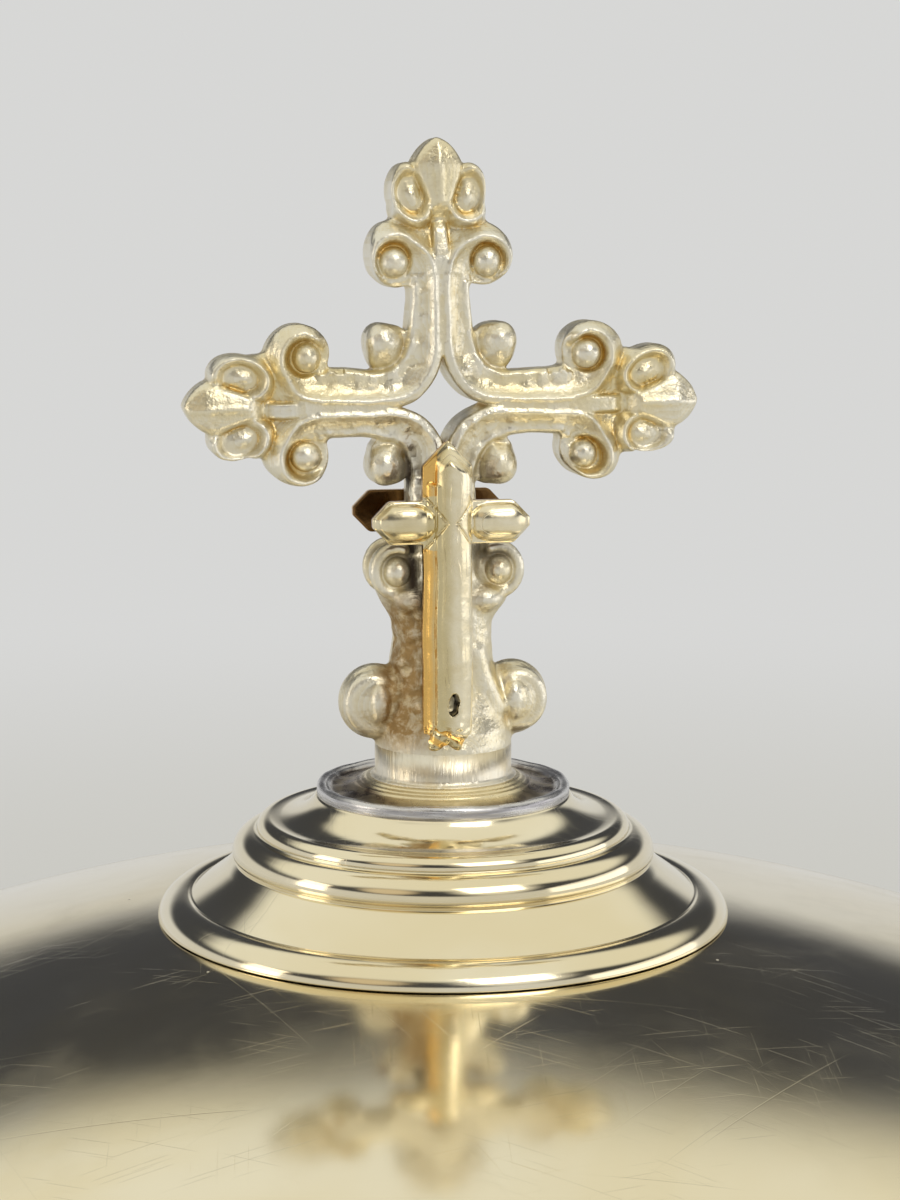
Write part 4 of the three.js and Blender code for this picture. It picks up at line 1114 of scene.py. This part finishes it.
# ---- hardware keeps its CAD shape ----

HARDWARE_EDGE = 0.15
for node in ("finial_stud", "finial_nut", "finial_washer", "tie_rod", "foot_nut", "foot_washer"):
    part = frame["nodes"][node]
    part.data.materials.clear()
    part.data.materials.append(brass)
    edges = part.modifiers.new("edges", "BEVEL")
    edges.width = HARDWARE_EDGE * MM
    edges.segments = 2
    edges.limit_method = "ANGLE"
    edges.angle_limit = math.radians(35)


# ---- floor, backdrop, lights and camera ----

BACKGROUND = (0.68, 0.68, 0.67)
FLOOR = (0.78, 0.78, 0.77)
FLOOR_FADE = (0.35, 1.3)      # metres from the axis where the floor turns into the background
HORIZON_FADE = (0.17, 0.29)   # sine of the elevation where the background turns into the dark room
DARK_ROOM = (0.055, 0.058, 0.068)
LAMPS_AIM = 0.19              # height of the finial, metres
# Each soft light: azimuth and elevation in degrees, radius of its even middle and of its faded edge, colour.
SOFT_LIGHTS = (
    (0, 89, 38, 53, (0.86, 0.85, 0.77)),
    (102, 56, 24, 37, (0.86, 0.85, 0.77)),
    (-102, 56, 26, 39, (0.86, 0.85, 0.77)),
    (-152, 56, 12, 24, (0.86, 0.85, 0.77)),
    (20, 34, 10, 26, (0.90, 0.88, 0.82)),
    (-42, 30, 6, 18, (0.70, 0.60, 0.45)),
)


def direction(azimuth, elevation):
    """Towards a place in the room, in degrees. Azimuth 0 is in front, 90 is to the object's right (+X)."""
    a, e = math.radians(azimuth), math.radians(elevation)
    return Vector((math.sin(a) * math.cos(e), -math.cos(a) * math.cos(e), math.sin(e)))


def stage_floor():
    """A pale floor that fades into the background's colour away from the object."""
    far = 9000                # millimetres
    corners = [(-far, -far, 0), (far, -far, 0), (far, far, 0), (-far, far, 0)]
    piece = mesh_object("floor", corners, [(0, 1, 2, 3)])
    s = new_material("floor")
    fade = s.ramp(s.length(s.place), *FLOOR_FADE)
    diffuse = s.node("BsdfDiffuse", {"Color": FLOOR})
    glow = s.node("Emission", {"Color": BACKGROUND})
    mix = s.node("MixShader", {0: fade, 1: diffuse.outputs[0], 2: glow.outputs[0]})
    s.node("OutputMaterial", {"Surface": mix.outputs[0]})
    piece.data.materials.append(s.owner)


def studio_world():
    """Pale round the horizon and dark above it, with the soft lights: one overhead, three at the sides and
    back, and two small ones in front."""
    bpy.context.scene.world = bpy.data.worlds.new("studio")
    s = Nodes(bpy.context.scene.world, "Generated")
    colour = s.mix(s.ramp(s.axes(s.place)["Z"], *HORIZON_FADE), BACKGROUND, DARK_ROOM)
    for azimuth, elevation, inner, outer, glow in SOFT_LIGHTS:
        towards = s.node("VectorMath", {0: s.place, 1: direction(azimuth, elevation)},
                         operation="DOT_PRODUCT")
        share = s.ramp(towards.outputs["Value"], math.cos(math.radians(outer)), math.cos(math.radians(inner)))
        colour = s.mix(share, colour, glow)
    background = s.tree.nodes["Background"]
    s.feed(background.inputs["Color"], colour)
    s.feed(background.inputs["Strength"], 1.0)


def softbox(name, azimuth, elevation, distance, width, height, power, colour):
    """An area lamp aimed at the finial."""
    away = direction(azimuth, elevation)
    data = bpy.data.lights.new(name, "AREA")
    data.shape, data.size, data.size_y = "RECTANGLE", width, height
    data.energy, data.color = power, colour
    lamp = bpy.data.objects.new(name, data)
    lamp.location = Vector((0, 0, LAMPS_AIM)) + away * distance
    lamp.rotation_mode = "QUATERNION"
    lamp.rotation_quaternion = away.to_track_quat("Z", "Y")
    lamp.visible_camera = False
    bpy.context.scene.collection.objects.link(lamp)


stage_floor()
studio_world()
softbox("key", 20, 42, 1.0, 0.5, 0.5, 1.8, (1.0, 0.97, 0.92))
softbox("right", 76, 6, 1.0, 1.1, 0.45, 1.35, (1.0, 0.98, 0.95))
softbox("left", -84, 10, 1.1, 0.34, 0.6, 1.2, (1.0, 0.90, 0.76))

CAMERA_AZIMUTH = -10.6        # the camera stands a little to the object's left
CAMERA_DISTANCE = 200.0       # from the axis, millimetres
CAMERA_ABOVE_BOSS = 56.33     # above the boss's base, millimetres
CAMERA_DOWN = 8.44            # degrees below level
CAMERA_LENS, CAMERA_SENSOR = 72, 36
CAMERA_ASIDE = 0.17           # degrees: the axis stands a little left of the middle of the picture

turn = math.radians(CAMERA_AZIMUTH)
camera_data = bpy.data.cameras.new("camera")
camera_data.lens, camera_data.sensor_width = CAMERA_LENS, CAMERA_SENSOR
camera_data.clip_start, camera_data.clip_end = 0.01, 40
camera = bpy.data.objects.new("camera", camera_data)
camera.location = (math.sin(turn) * CAMERA_DISTANCE * MM, -math.cos(turn) * CAMERA_DISTANCE * MM,
                   (boss_z + CAMERA_ABOVE_BOSS) * MM)
camera.rotation_euler = (math.radians(90 - CAMERA_DOWN), 0, turn - math.radians(CAMERA_ASIDE))
bpy.context.scene.collection.objects.link(camera)
bpy.context.scene.camera = camera
bpy.context.scene.view_settings.view_transform = "Standard"
